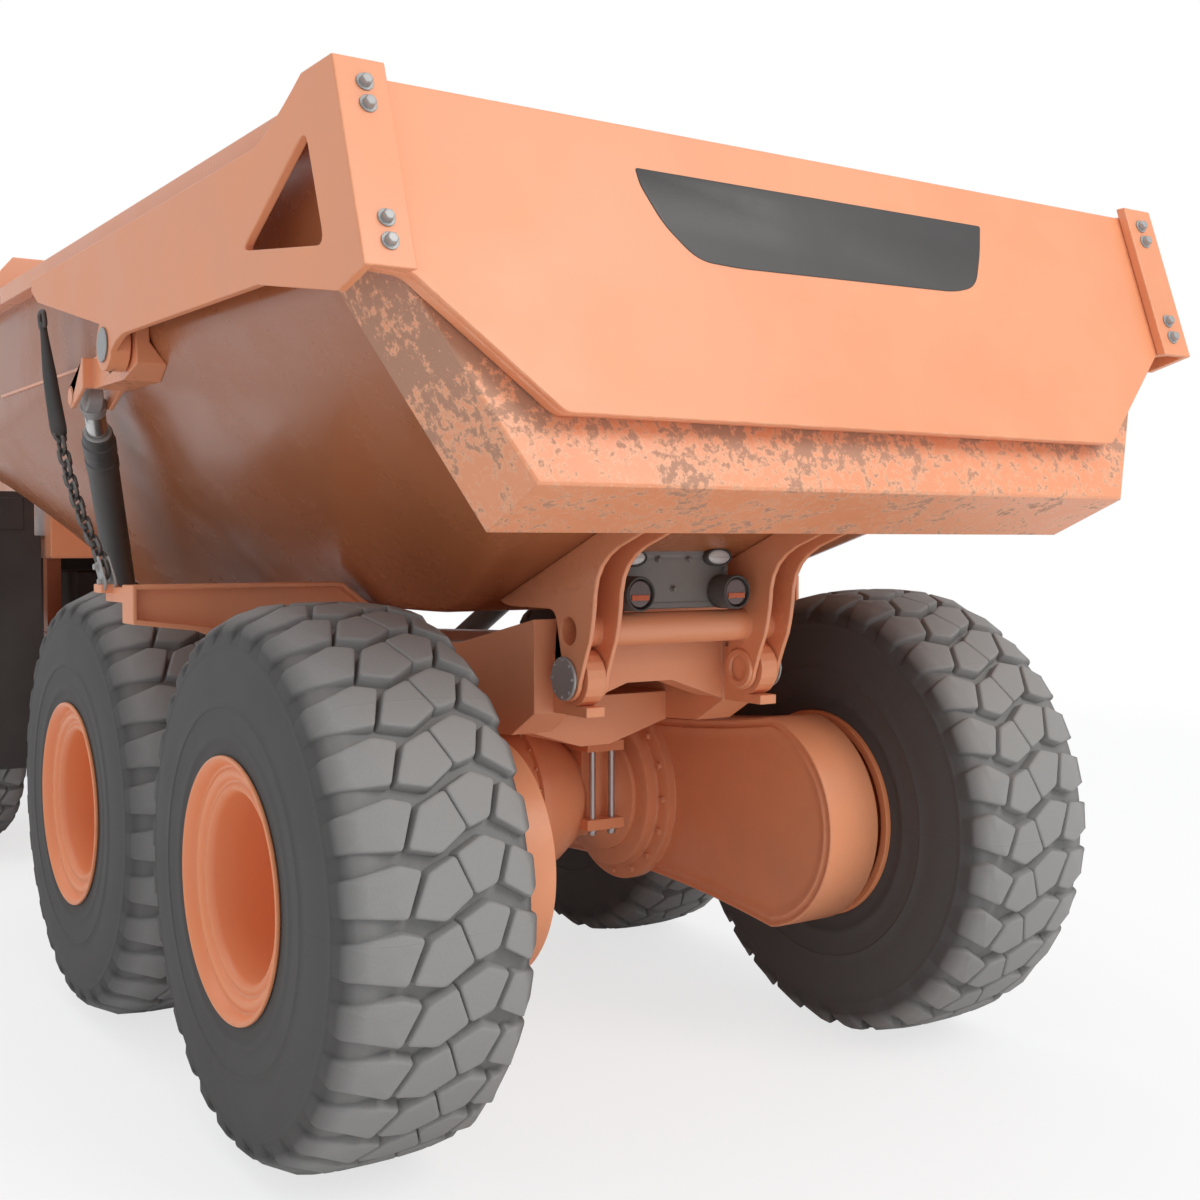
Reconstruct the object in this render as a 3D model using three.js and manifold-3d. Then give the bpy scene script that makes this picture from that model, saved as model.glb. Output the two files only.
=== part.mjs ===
// Articulated six-wheel dump truck, built as separate named pieces.
// Frame, in millimetres: +X is the truck's left, +Y its tail, +Z up. The origin is on the ground,
// under the middle of the truck.
import * as THREE from 'three';
import { mergeVertices } from 'three/addons/utils/BufferGeometryUtils.js';
import Module from 'manifold-3d';

const wasm = await Module();
wasm.setup();

// ---------- driving dimensions ----------
const seat = 0.3; // gap left between two pieces that touch
const swing = 6; // clearance between a moving piece and its neighbour

// Overall places, along Y
const rearAxleY = 3596;
const tandemSpacing = 1703;
const bogieY = rearAxleY - tandemSpacing / 2;
const midAxleY = rearAxleY - tandemSpacing;
const frontAxleY = rearAxleY - 5540;
const hitchY = rearAxleY - 4250;
const frontEndY = -4732;

// Wheels
const axleZ = 808;
const tyreRadius = axleZ;
const shoulderRadius = 781.5;
const treadWidth = 516;
const tyreWidth = 596;
const wheelX = 1108;
const rimRadius = 380;
const beadRadius = 372;
const rimWellRadius = 266;
const rimWidth = 608;
const discOffset = -90; // inner face of the wheel disc, from the tyre's middle plane
const discThickness = 50;
const hubRadius = 235;
const wheelSides = 30;

// Bogie cases and axles
const caseInnerX = 539;
const caseOuterX = 767;
const caseEndRadius = 377;
const caseWaist = 315;
const pivotBossX = 450;
const axleTubeRadius = 170;
const differentialRadius = 300;

// Rear frame
const railInnerX = 300;
const railOuterX = 447;
const frameFrontY = rearAxleY - 3760;
const bearingRadius = 224;
const bearingZ = 1000;
const bearingDepth = 150;
const bearingPlay = 4;

// Dump bed
const bedHingeY = rearAxleY + 205;
const bedHingeZ = 1372;
const bedFrontY = rearAxleY - 3900;
const bedHalfWidth = 1350;
const bedSideTopZ = 2870;
const bedWall = 20;
const headboardTopZ = 3225;
const gateSlope = 1 / 3; // the tail plane leans forward by this much for each unit of height
const rimPlaneY = rearAxleY + 1760; // y of the bed's rear face where its plane meets the ground
const gateGap = swing;
const gateOuterPlaneY = rearAxleY + 1832;
const gateFlange = 33;

// Tailgate arms and hoist
const armInnerX = 1444;
const armOuterX = 1469;
const armPivotY = rearAxleY - 935;
const armPivotZ = 2437;
const armPinRadius = 45;
const hoistFoot = new THREE.Vector3(600, rearAxleY - 3380, 800);
const hoistEye = new THREE.Vector3(1362, rearAxleY - 1465, 2312);
const barrelRadius = 62;
const rodRadius = 38;
const rodShown = 190; // length of rod outside the barrel at rest
const barrelBore = 43;
const pistonLength = 60;
const pistonStart = 140; // from the foot's centre, at rest
const hoistBallRadius = 55;

// Check chains
const chainX = 1436;
const chainFootZ = 1672;
const linkRadius = 22;
const sleeveRadius = 32;

// Bed hinge
const outerPlateX = 398;
const innerPlateX = 303;
const hingePlate = 16;
const crossTubeRadius = 52;
const hingePinRadius = 45;
const pinPlay = 0.9; // radial play of a pin in its bore
const crossTubeY = rearAxleY + 217;
const crossTubeZ = 1518;

// Steering cylinders, which lie level, with each eye resting on a lug
const steerLugZ = 865;
const steerZ = 905;
const steerFoot = new THREE.Vector3(375, rearAxleY - 5000, steerZ);
const steerEye = new THREE.Vector3(285, hitchY + 175, steerZ);

// Tractor
const cabHalfWidth = 720;
const cabWall = 55;
const cabRearY = rearAxleY - 4700;
const cabFrontY = rearAxleY - 6400;
const cabFloorZ = 1700;
const cabRoofZ = 3300;
const hoodHalfWidth = 620;
const hoodWall = 12;
const hoodHingeY = rearAxleY - 8200;
const hoodHingeZ = 1270;
const hoodEarX = 410; // where the frame's ear meets the hood's knuckle
const frontRailInnerX = 300;
const frontRailOuterX = 420;
const frontRailBottomZ = 960;
const frontRailTopZ = 1200;
const engineBottomZ = 1000;
const fenderInnerX = 745;
const fenderOuterX = 1425;
const archGap = 214; // from the front tyre's top to the top of its fender
const fenderTopZ = 2 * axleZ + archGap;
const fenderPlate = 30;

// ---------- materials ----------
const paint = (name, color, roughness, metalness) =>
  Object.assign(new THREE.MeshStandardMaterial({ color, roughness, metalness }), { name });
const orange = paint('painted_steel', 0xe8966a, 0.5, 0.1);
const rubber = paint('rubber', 0x5a5956, 0.9, 0);
const dark = paint('dark_paint', 0x3d3836, 0.6, 0.1);
const steel = paint('bare_steel', 0x9b9a97, 0.4, 0.7);
const glassy = paint('glass', 0x8fa0a6, 0.05, 0);
const cloth = paint('seat_cloth', 0x2f2f31, 0.95, 0);

// ---------- shape helpers ----------
// Turns a closed three.js geometry into a solid, with its faces pointing out.
function solidOf(geometry) {
  const bare = geometry.clone();
  bare.deleteAttribute('normal');
  bare.deleteAttribute('uv');
  const merged = mergeVertices(bare, 1e-3);
  const vertProperties = new Float32Array(merged.attributes.position.array);
  const triVerts = new Uint32Array(merged.index.array);
  if (signedVolume(vertProperties, triVerts) < 0) triVerts.reverse();
  return new wasm.Manifold(new wasm.Mesh({ numProp: 3, vertProperties, triVerts }));
}

function signedVolume(points, triangles) {
  const at = (i) => new THREE.Vector3().fromArray(points, 3 * i);
  let volume = 0;
  for (let i = 0; i < triangles.length; i += 3) {
    const a = at(triangles[i]);
    volume += a.dot(at(triangles[i + 1]).cross(at(triangles[i + 2])));
  }
  return volume / 6;
}

// Corners that a join or cut leaves closer together than this become one.
const cornerMerge = 0.02;

function geometryOf(solid) {
  const { vertProperties, triVerts } = solid.getMesh();
  const geometry = new THREE.BufferGeometry();
  geometry.setAttribute('position', new THREE.BufferAttribute(vertProperties, 3));
  geometry.setIndex(new THREE.BufferAttribute(triVerts, 1));
  const merged = mergeVertices(geometry, cornerMerge);
  const corners = merged.index.array;
  const kept = [];
  for (let i = 0; i < corners.length; i += 3) {
    const [a, b, c] = corners.slice(i, i + 3);
    if (a !== b && b !== c && c !== a) kept.push(a, b, c);
  }
  merged.setIndex(kept);
  return merged;
}

const join = (...solids) => solids.reduce((all, next) => all.add(next));
const mirrored = (solid) => solidOf(geometryOf(solid).scale(-1, 1, 1));
const bothSides = (solid) => solid.add(mirrored(solid));

function box(x0, x1, y0, y1, z0, z1) {
  const geometry = new THREE.BoxGeometry(x1 - x0, y1 - y0, z1 - z0);
  return solidOf(geometry.translate((x0 + x1) / 2, (y0 + y1) / 2, (z0 + z1) / 2));
}

const shapeOf = (points) => new THREE.Shape(points.map(([u, v]) => new THREE.Vector2(u, v)));

// An outline with every corner rounded by the same radius.
function roundedShape(points, radius, corners = []) {
  const shape = new THREE.Shape();
  points.forEach(([u, v], i) => {
    const corner = new THREE.Vector2(u, v);
    const before = new THREE.Vector2(...points[(i + points.length - 1) % points.length]);
    const after = new THREE.Vector2(...points[(i + 1) % points.length]);
    const r = corners[i] ?? radius;
    const enter = corner.clone().add(before.sub(corner).setLength(r));
    const leave = corner.clone().add(after.sub(corner).setLength(r));
    if (i === 0) shape.moveTo(enter.x, enter.y);
    else shape.lineTo(enter.x, enter.y);
    if (r > 0) shape.quadraticCurveTo(corner.x, corner.y, leave.x, leave.y);
  });
  shape.closePath();
  return shape;
}

const extrude = (shape, depth, curveSegments) =>
  new THREE.ExtrudeGeometry(shape, { depth, bevelEnabled: false, curveSegments });

// An outline in (y, z), extruded along X.
function plateX(outline, x0, x1, curveSegments = 4) {
  const shape = Array.isArray(outline) ? shapeOf(outline) : outline;
  const turn = new THREE.Matrix4().set(0, 0, 1, x0, 1, 0, 0, 0, 0, 1, 0, 0, 0, 0, 0, 1);
  return solidOf(extrude(shape, x1 - x0, curveSegments).applyMatrix4(turn));
}

// An outline in (x, z), extruded along Y. A slope leans it, so that y falls as z rises.
function plateY(outline, y0, y1, slope = 0) {
  const shape = Array.isArray(outline) ? shapeOf(outline) : outline;
  const turn = new THREE.Matrix4().set(1, 0, 0, 0, 0, -slope, -1, y1, 0, 1, 0, 0, 0, 0, 0, 1);
  return solidOf(extrude(shape, y1 - y0, 4).applyMatrix4(turn));
}

// An outline in (x, y), extruded along Z.
const plateZ = (outline, z0, z1) =>
  solidOf(extrude(Array.isArray(outline) ? shapeOf(outline) : outline, z1 - z0, 8).translate(0, 0, z0));

// A profile of [radius, distance] pairs turned about the line from one point towards another.
function turned(profile, from, towards, sides = 20, start = 0) {
  const points = profile.map(([radius, along]) => new THREE.Vector2(radius, along));
  const geometry = new THREE.LatheGeometry(points, sides, start);
  const up = new THREE.Vector3(0, 1, 0);
  const spin = new THREE.Quaternion().setFromUnitVectors(up, towards.clone().sub(from).normalize());
  return solidOf(geometry.applyQuaternion(spin).translate(from.x, from.y, from.z));
}

function rod(from, to, radius, sides = 16) {
  const length = from.distanceTo(to);
  return turned([[0, 0], [radius, 0], [radius, length], [0, length]], from, to, sides);
}

const v = (x, y, z) => new THREE.Vector3(x, y, z);

// A profile given from the middle plane outwards, repeated on the other side of that plane.
const doubled = (half) => [...half.map(([radius, along]) => [radius, -along]).reverse(), ...half];

function ball(centre, radius, sides = 12) {
  return solidOf(new THREE.SphereGeometry(radius, sides, sides / 2).translate(centre.x, centre.y, centre.z));
}

// A skin through rings that have the same number of points, closed at both ends. Each ring's second
// half mirrors its first, and so do the triangles.
function loft(rings) {
  const count = rings[0].length;
  const positions = rings.flat().flatMap((point) => [point.x, point.y, point.z]);
  const faces = [];
  for (let ring = 0; ring < rings.length - 1; ring++) {
    for (let i = 0; i < count; i++) {
      const a = ring * count + i;
      const b = ring * count + ((i + 1) % count);
      if (i < count / 2) faces.push(a, b, a + count, b, b + count, a + count);
      else faces.push(a, b, b + count, a, b + count, a + count);
    }
  }
  for (const ring of [0, rings.length - 1]) {
    const flat = rings[ring].map((point) => new THREE.Vector2(point.x, point.z));
    for (const [a, b, c] of THREE.ShapeUtils.triangulateShape(flat, [])) {
      const ends = [a, b, c].map((i) => i + ring * count);
      faces.push(...(ring === 0 ? ends.reverse() : ends));
    }
  }
  const geometry = new THREE.BufferGeometry();
  geometry.setAttribute('position', new THREE.Float32BufferAttribute(positions, 3));
  geometry.setIndex(faces);
  return solidOf(geometry);
}

const truck = new THREE.Group();

function add(group, name, material, solid) {
  const mesh = new THREE.Mesh(geometryOf(solid), material);
  mesh.name = name;
  group.add(mesh);
  return mesh;
}

function addPair(group, name, material, leftSolid) {
  add(group, `${name}_left`, material, leftSolid);
  add(group, `${name}_right`, material, mirrored(leftSolid));
}

// ---------- wheels: a tyre and a rim, each turned about X with its outer face towards +X ----------
function tyreSolid() {
  const half = tyreWidth / 2;
  const tread = treadWidth / 2;
  const crown = tread * 0.6;
  const flat = 1 / Math.cos(Math.PI / wheelSides); // facets, not corners, lie on the true radius
  const bead = beadRadius + seat;
  const beadX = rimWidth / 2 - 14 - 2 * seat; // inside the rim's lip
  const profile = [
    [bead, -beadX], [560, -half], [shoulderRadius, -tread], [tyreRadius, -crown],
    [tyreRadius, crown], [shoulderRadius, tread], [560, half], [bead, beadX], [bead, -beadX],
  ].map(([radius, along]) => [radius * flat, along]);
  return turned(profile, v(0, 0, 0), v(1, 0, 0), wheelSides, Math.PI / wheelSides);
}

function rimSolid() {
  const half = rimWidth / 2;
  const lip = 14;
  return turned([
    [0, discOffset + discThickness], [rimWellRadius, discOffset + discThickness],
    [rimWellRadius, half - 3], [rimRadius, half], [rimRadius, half - lip], [beadRadius, half - lip],
    [beadRadius, -half], [335, -half], [335, discOffset], [0, discOffset],
  ], v(0, 0, 0), v(1, 0, 0), 20);
}

function addWheel(group, name, side, y) {
  const wheel = new THREE.Group();
  wheel.position.set(side * wheelX, y, axleZ);
  wheel.rotation.z = side > 0 ? 0 : Math.PI;
  add(wheel, `tyre_${name}`, rubber, tyreSolid());
  add(wheel, `rim_${name}`, orange, rimSolid());
  group.add(wheel);
}

// ---------- front half: frame, engine, axle ----------
function frontFrame() {
  const railRearY = rearAxleY - 4560;
  const frontY = rearAxleY - 8150;
  const rail = box(frontRailInnerX, frontRailOuterX, frontY, railRearY, frontRailBottomZ, frontRailTopZ);
  const axlePad = box(frontRailInnerX + 15, frontRailOuterX - 15, frontAxleY - 100, frontAxleY + 100,
    axleZ + 130 + seat, frontRailBottomZ + 30);
  const cabPost = (y) => box(315, 405, y, y + 100, frontRailTopZ - 40, cabFloorZ - seat);
  const reach = frontRailInnerX + 60;
  const cross = (y, z0, z1) => box(-reach, reach, y, y + 100, z0, z1);
  const hoodRest = box(315, 405, frontY + 30, frontY + 130, frontRailTopZ - 40, 1235);
  const ear = rod(v(330, hoodHingeY, hoodHingeZ), v(hoodEarX - seat, hoodHingeY, hoodHingeZ), 22)
    .add(plateX([[-8, -12], [14, -100], [90, -100], [90, -85], [12, 14]]
      .map(([y, z]) => [hoodHingeY + y, hoodHingeZ + z]), 330, hoodEarX - seat));
  const rearBox = box(-250, 250, railRearY - 340, railRearY - 40, 690, frontRailBottomZ + 40)
    .add(box(-frontRailOuterX - 15, frontRailOuterX + 15, railRearY - 350, railRearY - 30,
      frontRailBottomZ + 10, 1265));
  const yoke = plateZ(yokeOutline(railRearY - 70), 1190, 1250)
    .add(plateZ(yokeOutline(railRearY - 70), 700, 760));
  const pinHole = rod(v(0, hitchY, 600), v(0, hitchY, 1400), 51);
  const steerLug = plateX([[steerFoot.y - 120, steerLugZ - 50], [steerFoot.y + 60, steerLugZ - 50],
    [steerFoot.y + 60, steerLugZ], [steerFoot.y - 65, steerLugZ], [steerFoot.y - 65, frontRailBottomZ + 40],
    [steerFoot.y - 120, frontRailBottomZ + 40]], 325, 410);
  return join(
    bothSides(join(rail, axlePad, cabPost(rearAxleY - 6200), cabPost(rearAxleY - 4900), hoodRest, ear,
      steerLug)),
    cross(frontY + 10, frontRailBottomZ + 20, frontRailTopZ - 20),
    cross(rearAxleY - 7500, 900, engineBottomZ - seat),
    cross(rearAxleY - 6300, frontRailBottomZ + 20, frontRailTopZ - 40), rearBox, yoke,
  ).subtract(pinHole);
}

function yokeOutline(y) {
  const reach = 170;
  const shape = new THREE.Shape();
  shape.moveTo(-frontRailOuterX, y);
  shape.lineTo(frontRailOuterX, y);
  shape.lineTo(frontRailOuterX, y + 40);
  shape.lineTo(reach, hitchY - 120);
  shape.absarc(0, hitchY, reach, 0, Math.PI, false);
  shape.lineTo(-reach, hitchY - 120);
  shape.lineTo(-frontRailOuterX, y + 40);
  return shape;
}

function frontBumper() {
  const back = rearAxleY - 8150 - seat;
  const outline = [[1250, back], [1250, back - 60], [900, frontEndY], [-900, frontEndY],
    [-1250, back - 60], [-1250, back]];
  return plateZ(outline, 640, 1080);
}

function engineBlock() {
  const engine = box(-290, 290, rearAxleY - 7900, rearAxleY - 6600, engineBottomZ, 1780);
  return engine.add(box(-250, 250, rearAxleY - 6601, rearAxleY - 5950, frontRailTopZ, 1600));
}

function frontAxle() {
  const hubX = wheelX + discOffset - seat;
  const half = [[differentialRadius - 20, 20], [260, 90], [150, 210], [130, 300], [130, 820],
    [hubRadius, 850], [hubRadius, hubX], [0, hubX]];
  return turned(doubled(half), v(0, frontAxleY, axleZ), v(1, frontAxleY, axleZ), 16);
}

// ---------- front half: cab ----------
const windscreenLean = 140 / 920;
const windscreenFootZ = 2300;
const screenFootZ = 2340;
const screenTopZ = 3140;

function cabProfile(inset) {
  const front = cabFrontY + inset;
  const rear = cabRearY - inset;
  const roof = cabRoofZ - inset;
  return [[rear, cabFloorZ + inset], [rear, roof - 120], [rear - 60, roof], [front + 250, roof],
    [front + windscreenLean * 920, windscreenFootZ + 920], [front, windscreenFootZ],
    [front, cabFloorZ + inset]];
}

const doorFrontY = rearAxleY - 6200;
const doorRearY = rearAxleY - 5240;
const doorBottomZ = 1850;
const doorTopZ = 3120;
const windowBottomZ = 2250;
const windowTopZ = 3080;
const screenHalfWidth = cabHalfWidth - 120;
const rearWindowHalfWidth = cabHalfWidth - 160;
const sideWindowFrontY = rearAxleY - 6130;
const sideWindowRearY = rearAxleY - 4850;

function cabShell() {
  const shell = plateX(cabProfile(0), -cabHalfWidth, cabHalfWidth)
    .subtract(plateX(cabProfile(cabWall), cabWall - cabHalfWidth, cabHalfWidth - cabWall));
  const through = (x0, x1, y0, y1, z0, z1) => box(x0, x1, y0, y1, z0, z1);
  const openings = [
    through(-screenHalfWidth, screenHalfWidth, cabFrontY - 100, cabFrontY + 260, screenFootZ, screenTopZ),
    through(-rearWindowHalfWidth, rearWindowHalfWidth, cabRearY - 100, cabRearY + 100,
      windowBottomZ, windowTopZ - 30),
    through(-cabHalfWidth - 10, 100 - cabHalfWidth, sideWindowFrontY, sideWindowRearY,
      windowBottomZ, windowTopZ),
    through(cabHalfWidth - 100, cabHalfWidth + 10, doorFrontY, doorRearY, doorBottomZ, doorTopZ),
  ];
  return openings.reduce((body, hole) => body.subtract(hole), shell)
    .add(hingeKnuckles(0, doorHinge.y - 50, doorHinge.y - 1));
}

const paneInset = 15;
const paneThickness = 8;

function windscreen() {
  const outer = (z) => cabFrontY + windscreenLean * Math.max(0, z - windscreenFootZ) + paneInset;
  const low = screenFootZ + seat;
  const high = screenTopZ - seat;
  return plateX([[outer(low), low], [outer(low) + paneThickness, low],
    [outer(high) + paneThickness, high], [outer(high), high]],
  seat - screenHalfWidth, screenHalfWidth - seat);
}

function rearWindow() {
  const y = cabRearY - paneInset;
  return box(seat - rearWindowHalfWidth, rearWindowHalfWidth - seat, y - paneThickness, y,
    windowBottomZ + seat, windowTopZ - 30 - seat);
}

function rightWindow() {
  const x = paneInset - cabHalfWidth;
  return box(x, x + paneThickness, sideWindowFrontY + seat, sideWindowRearY - seat,
    windowBottomZ + seat, windowTopZ - seat);
}

const doorThickness = 50;
const doorHinge = { x: cabHalfWidth + 16, y: doorFrontY, radius: 12, height: 60, feet: [1990, 2880] };

// One half of the door's hinges: a knuckle at each height and the leaf from it, between two y values.
function hingeKnuckles(rise, leafY0, leafY1) {
  const { x, y, radius, height, feet } = doorHinge;
  return join(...feet.map((foot) => rod(v(x, y, foot + rise), v(x, y, foot + rise + height), radius, 12)
    .add(box(cabHalfWidth - 12, x, leafY0, leafY1, foot + rise, foot + rise + height))));
}

const doorWindow = { y0: doorFrontY + 75, y1: doorRearY - 75, z0: windowBottomZ, z1: doorTopZ - 80 };

function cabDoor() {
  const outer = cabHalfWidth + 2;
  const panel = box(outer - doorThickness, outer, doorFrontY + swing, doorRearY - swing,
    doorBottomZ + swing, doorTopZ - swing);
  const { y0, y1, z0, z1 } = doorWindow;
  return panel.subtract(box(outer - 100, outer + 10, y0, y1, z0, z1))
    .add(hingeKnuckles(doorHinge.height + seat, doorHinge.y + 8, doorHinge.y + 60)
      .subtract(box(0, cabHalfWidth + 1.5, doorHinge.y - 40, doorHinge.y + swing, 0, 4000)));
}

function cabDoorGlass() {
  const x = cabHalfWidth + 2 - paneInset;
  const { y0, y1, z0, z1 } = doorWindow;
  return box(x - paneThickness, x, y0 + seat, y1 - seat, z0 + seat, z1 - seat);
}

const cabinFloorZ = cabFloorZ + cabWall;
const seatTopZ = 2100;

function seatBase() {
  return box(-220, 220, rearAxleY - 5620, rearAxleY - 5160, cabinFloorZ + seat, seatTopZ - 60);
}

function operatorSeat() {
  const bottom = seatTopZ - 60 + seat;
  const front = rearAxleY - 5680;
  const rear = rearAxleY - 5060;
  const outline = [[front, bottom], [rear - 60, bottom], [rear, 2780], [rear - 90, 2800],
    [rear - 190, 2190], [front, 2170]];
  return plateX(roundedShape(outline, 25), -255, 255);
}

function dashConsole() {
  const front = cabFrontY + cabWall + 20;
  const desk = plateX([[front, cabinFloorZ + seat], [front + 220, cabinFloorZ + seat],
    [front + 320, 2200], [front + 60, 2250], [front, 2200]], -520, 520);
  const column = rod(v(0, front + 200, 2100), v(0, front + 330, 2330), 35, 12);
  const hub = v(0, front + 330, 2330);
  const tilt = new THREE.Quaternion().setFromUnitVectors(v(0, 0, 1), v(0, 130, 230).normalize());
  const ring = solidOf(new THREE.TorusGeometry(200, 16, 6, 20).applyQuaternion(tilt)
    .translate(hub.x, hub.y, hub.z));
  const arm = (angle) => {
    const tip = v(200 * Math.cos(angle), 200 * Math.sin(angle), 0).applyQuaternion(tilt).add(hub);
    return rod(hub, tip, 13, 8);
  };
  return join(desk, column, ring, arm(0), arm(Math.PI), arm(-Math.PI / 2));
}

// ---------- front half: hood ----------
const hoodFrontY = rearAxleY - 8250;
const hoodRearY = cabFrontY - 80;
const hoodBottomZ = 1250;
const grilleHalfWidth = 470;
const grilleBottomZ = 1340;
const grilleTopZ = 1880;

function engineHood() {
  const profile = (inset) => [[hoodFrontY + inset, hoodBottomZ - inset], [hoodFrontY + inset, 1960 - inset],
    [hoodFrontY + 220, 2090 - inset], [hoodRearY + 2 * inset, 2260 - inset],
    [hoodRearY + 2 * inset, hoodBottomZ - inset]];
  const knuckle = rod(v(hoodEarX, hoodHingeY, hoodHingeZ), v(hoodEarX + 60, hoodHingeY, hoodHingeZ), 20)
    .add(box(hoodEarX, hoodEarX + 60, hoodFrontY + hoodWall - 6, hoodHingeY, hoodHingeZ - 14,
      hoodHingeZ + 14));
  return plateX(profile(0), -hoodHalfWidth, hoodHalfWidth)
    .subtract(plateX(profile(hoodWall), hoodWall - hoodHalfWidth, hoodHalfWidth - hoodWall))
    .subtract(box(-grilleHalfWidth, grilleHalfWidth, hoodFrontY - 10, hoodFrontY + 100,
      grilleBottomZ, grilleTopZ))
    .add(bothSides(knuckle));
}

function radiatorGrille() {
  const frame = box(seat - grilleHalfWidth, grilleHalfWidth - seat, hoodFrontY - 18, hoodFrontY + 22,
    grilleBottomZ + seat, grilleTopZ - seat);
  const slats = 6;
  const pitch = (grilleTopZ - grilleBottomZ) / slats;
  let grille = frame;
  for (let i = 0; i < slats; i++) {
    const z = grilleBottomZ + (i + 0.5) * pitch;
    grille = grille.subtract(box(50 - grilleHalfWidth, grilleHalfWidth - 50, hoodFrontY - 30,
      hoodFrontY + 40, z - pitch * 0.3, z + pitch * 0.3));
  }
  return grille;
}

// ---------- front half: fenders, ladders, mirrors, exhaust ----------
function frontFender() {
  const rear = rearAxleY - 4820;
  const front = rearAxleY - 6600;
  const t = fenderPlate;
  const band = [[front, 1180], [front + 190, fenderTopZ - 40], [front + 300, fenderTopZ],
    [rear, fenderTopZ], [rear, 1350], [rear + 160, 950], [rear + 180, 530],
    [rear + 180 - t, 530], [rear + 160 - t, 944], [rear - t, 1344], [rear - t, fenderTopZ - t],
    [front + 312, fenderTopZ - t], [front + 212, fenderTopZ - 40 - t], [front + t + 2, 1180]];
  const locker = box(780, 1400, rear - 260, rear, fenderTopZ - 1, fenderTopZ + 250);
  const cabBracket = box(cabHalfWidth + seat, fenderInnerX + 10, rearAxleY - 5900, rearAxleY - 5300,
    fenderTopZ - 50, fenderTopZ);
  return join(plateX(band, fenderInnerX, fenderOuterX), locker, cabBracket, ladder(front));
}

function ladder(y) {
  const stile = (x) => box(x, x + 25, y - 270, y - 40, 470, 1500);
  const tread = (z) => box(900, 1300, y - 250, y - 60, z, z + 30);
  const stay = box(890, 1310, y - 60, y + 100, 1400, 1440);
  return join(stile(885), stile(1290), tread(480), tread(820), tread(1160), tread(1470), stay);
}

function exhaustStack() {
  const foot = v(-900, rearAxleY - 5980, fenderTopZ + seat);
  const muffler = rod(foot, foot.clone().setZ(2650), 95, 16);
  const pipe = rod(foot.clone().setZ(2640), foot.clone().setZ(3180), 55, 14);
  return muffler.add(pipe);
}

function mirror() {
  const y = cabFrontY + 145;
  const arm = rod(v(cabHalfWidth + seat, y, 2750), v(1170, y, 2750), 16, 10);
  const hanger = rod(v(1160, y, 2400), v(1160, y, 2780), 14, 10);
  const head = box(1060, 1260, y - 50, y - 10, 2380, 2740);
  return join(arm, hanger, head);
}

// ---------- hitch: a vertical steering pin ahead of a lengthwise roll bearing ----------
function articulationHitch() {
  const block = box(-150, 150, hitchY - 110, hitchY + 190, 766, 1184);
  const pin = rod(v(0, hitchY, 640), v(0, hitchY, 1300), 50);
  const flange = box(-180, 180, hitchY + 105, hitchY + 170, 800, 1130);
  const barrel = rod(v(0, hitchY + 185, bearingZ), v(0, frameFrontY - 2 * seat, bearingZ), bearingRadius, 28);
  const steerLug = box(170, 335, hitchY + 110, hitchY + 230, steerLugZ - 60, steerLugZ);
  return join(block, pin, flange, barrel, bothSides(steerLug));
}

const steerEyeRadius = 52;
const steerEyeHeight = 60;

const steerEyeDisc = (centre) => rod(centre.clone().setZ(steerLugZ + seat),
  centre.clone().setZ(steerLugZ + seat + steerEyeHeight), steerEyeRadius, 16);

function steerBarrel() {
  const axis = steerEye.clone().sub(steerFoot).normalize();
  const start = steerFoot.clone().addScaledVector(axis, 40);
  const length = 580;
  const tube = turned([[0, 0], [38, 0], [38, length], [26, length], [26, 30], [0, 30]], start, steerEye, 16);
  return tube.add(steerEyeDisc(steerFoot));
}

function steerRod() {
  const axis = steerEye.clone().sub(steerFoot).normalize();
  const tip = steerFoot.clone().addScaledVector(axis, 330);
  return rod(tip, steerEye, 22, 14).add(steerEyeDisc(steerEye));
}

// ---------- rear half: frame, axle, bogie ----------
const railRearY = rearAxleY + 95;

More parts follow.
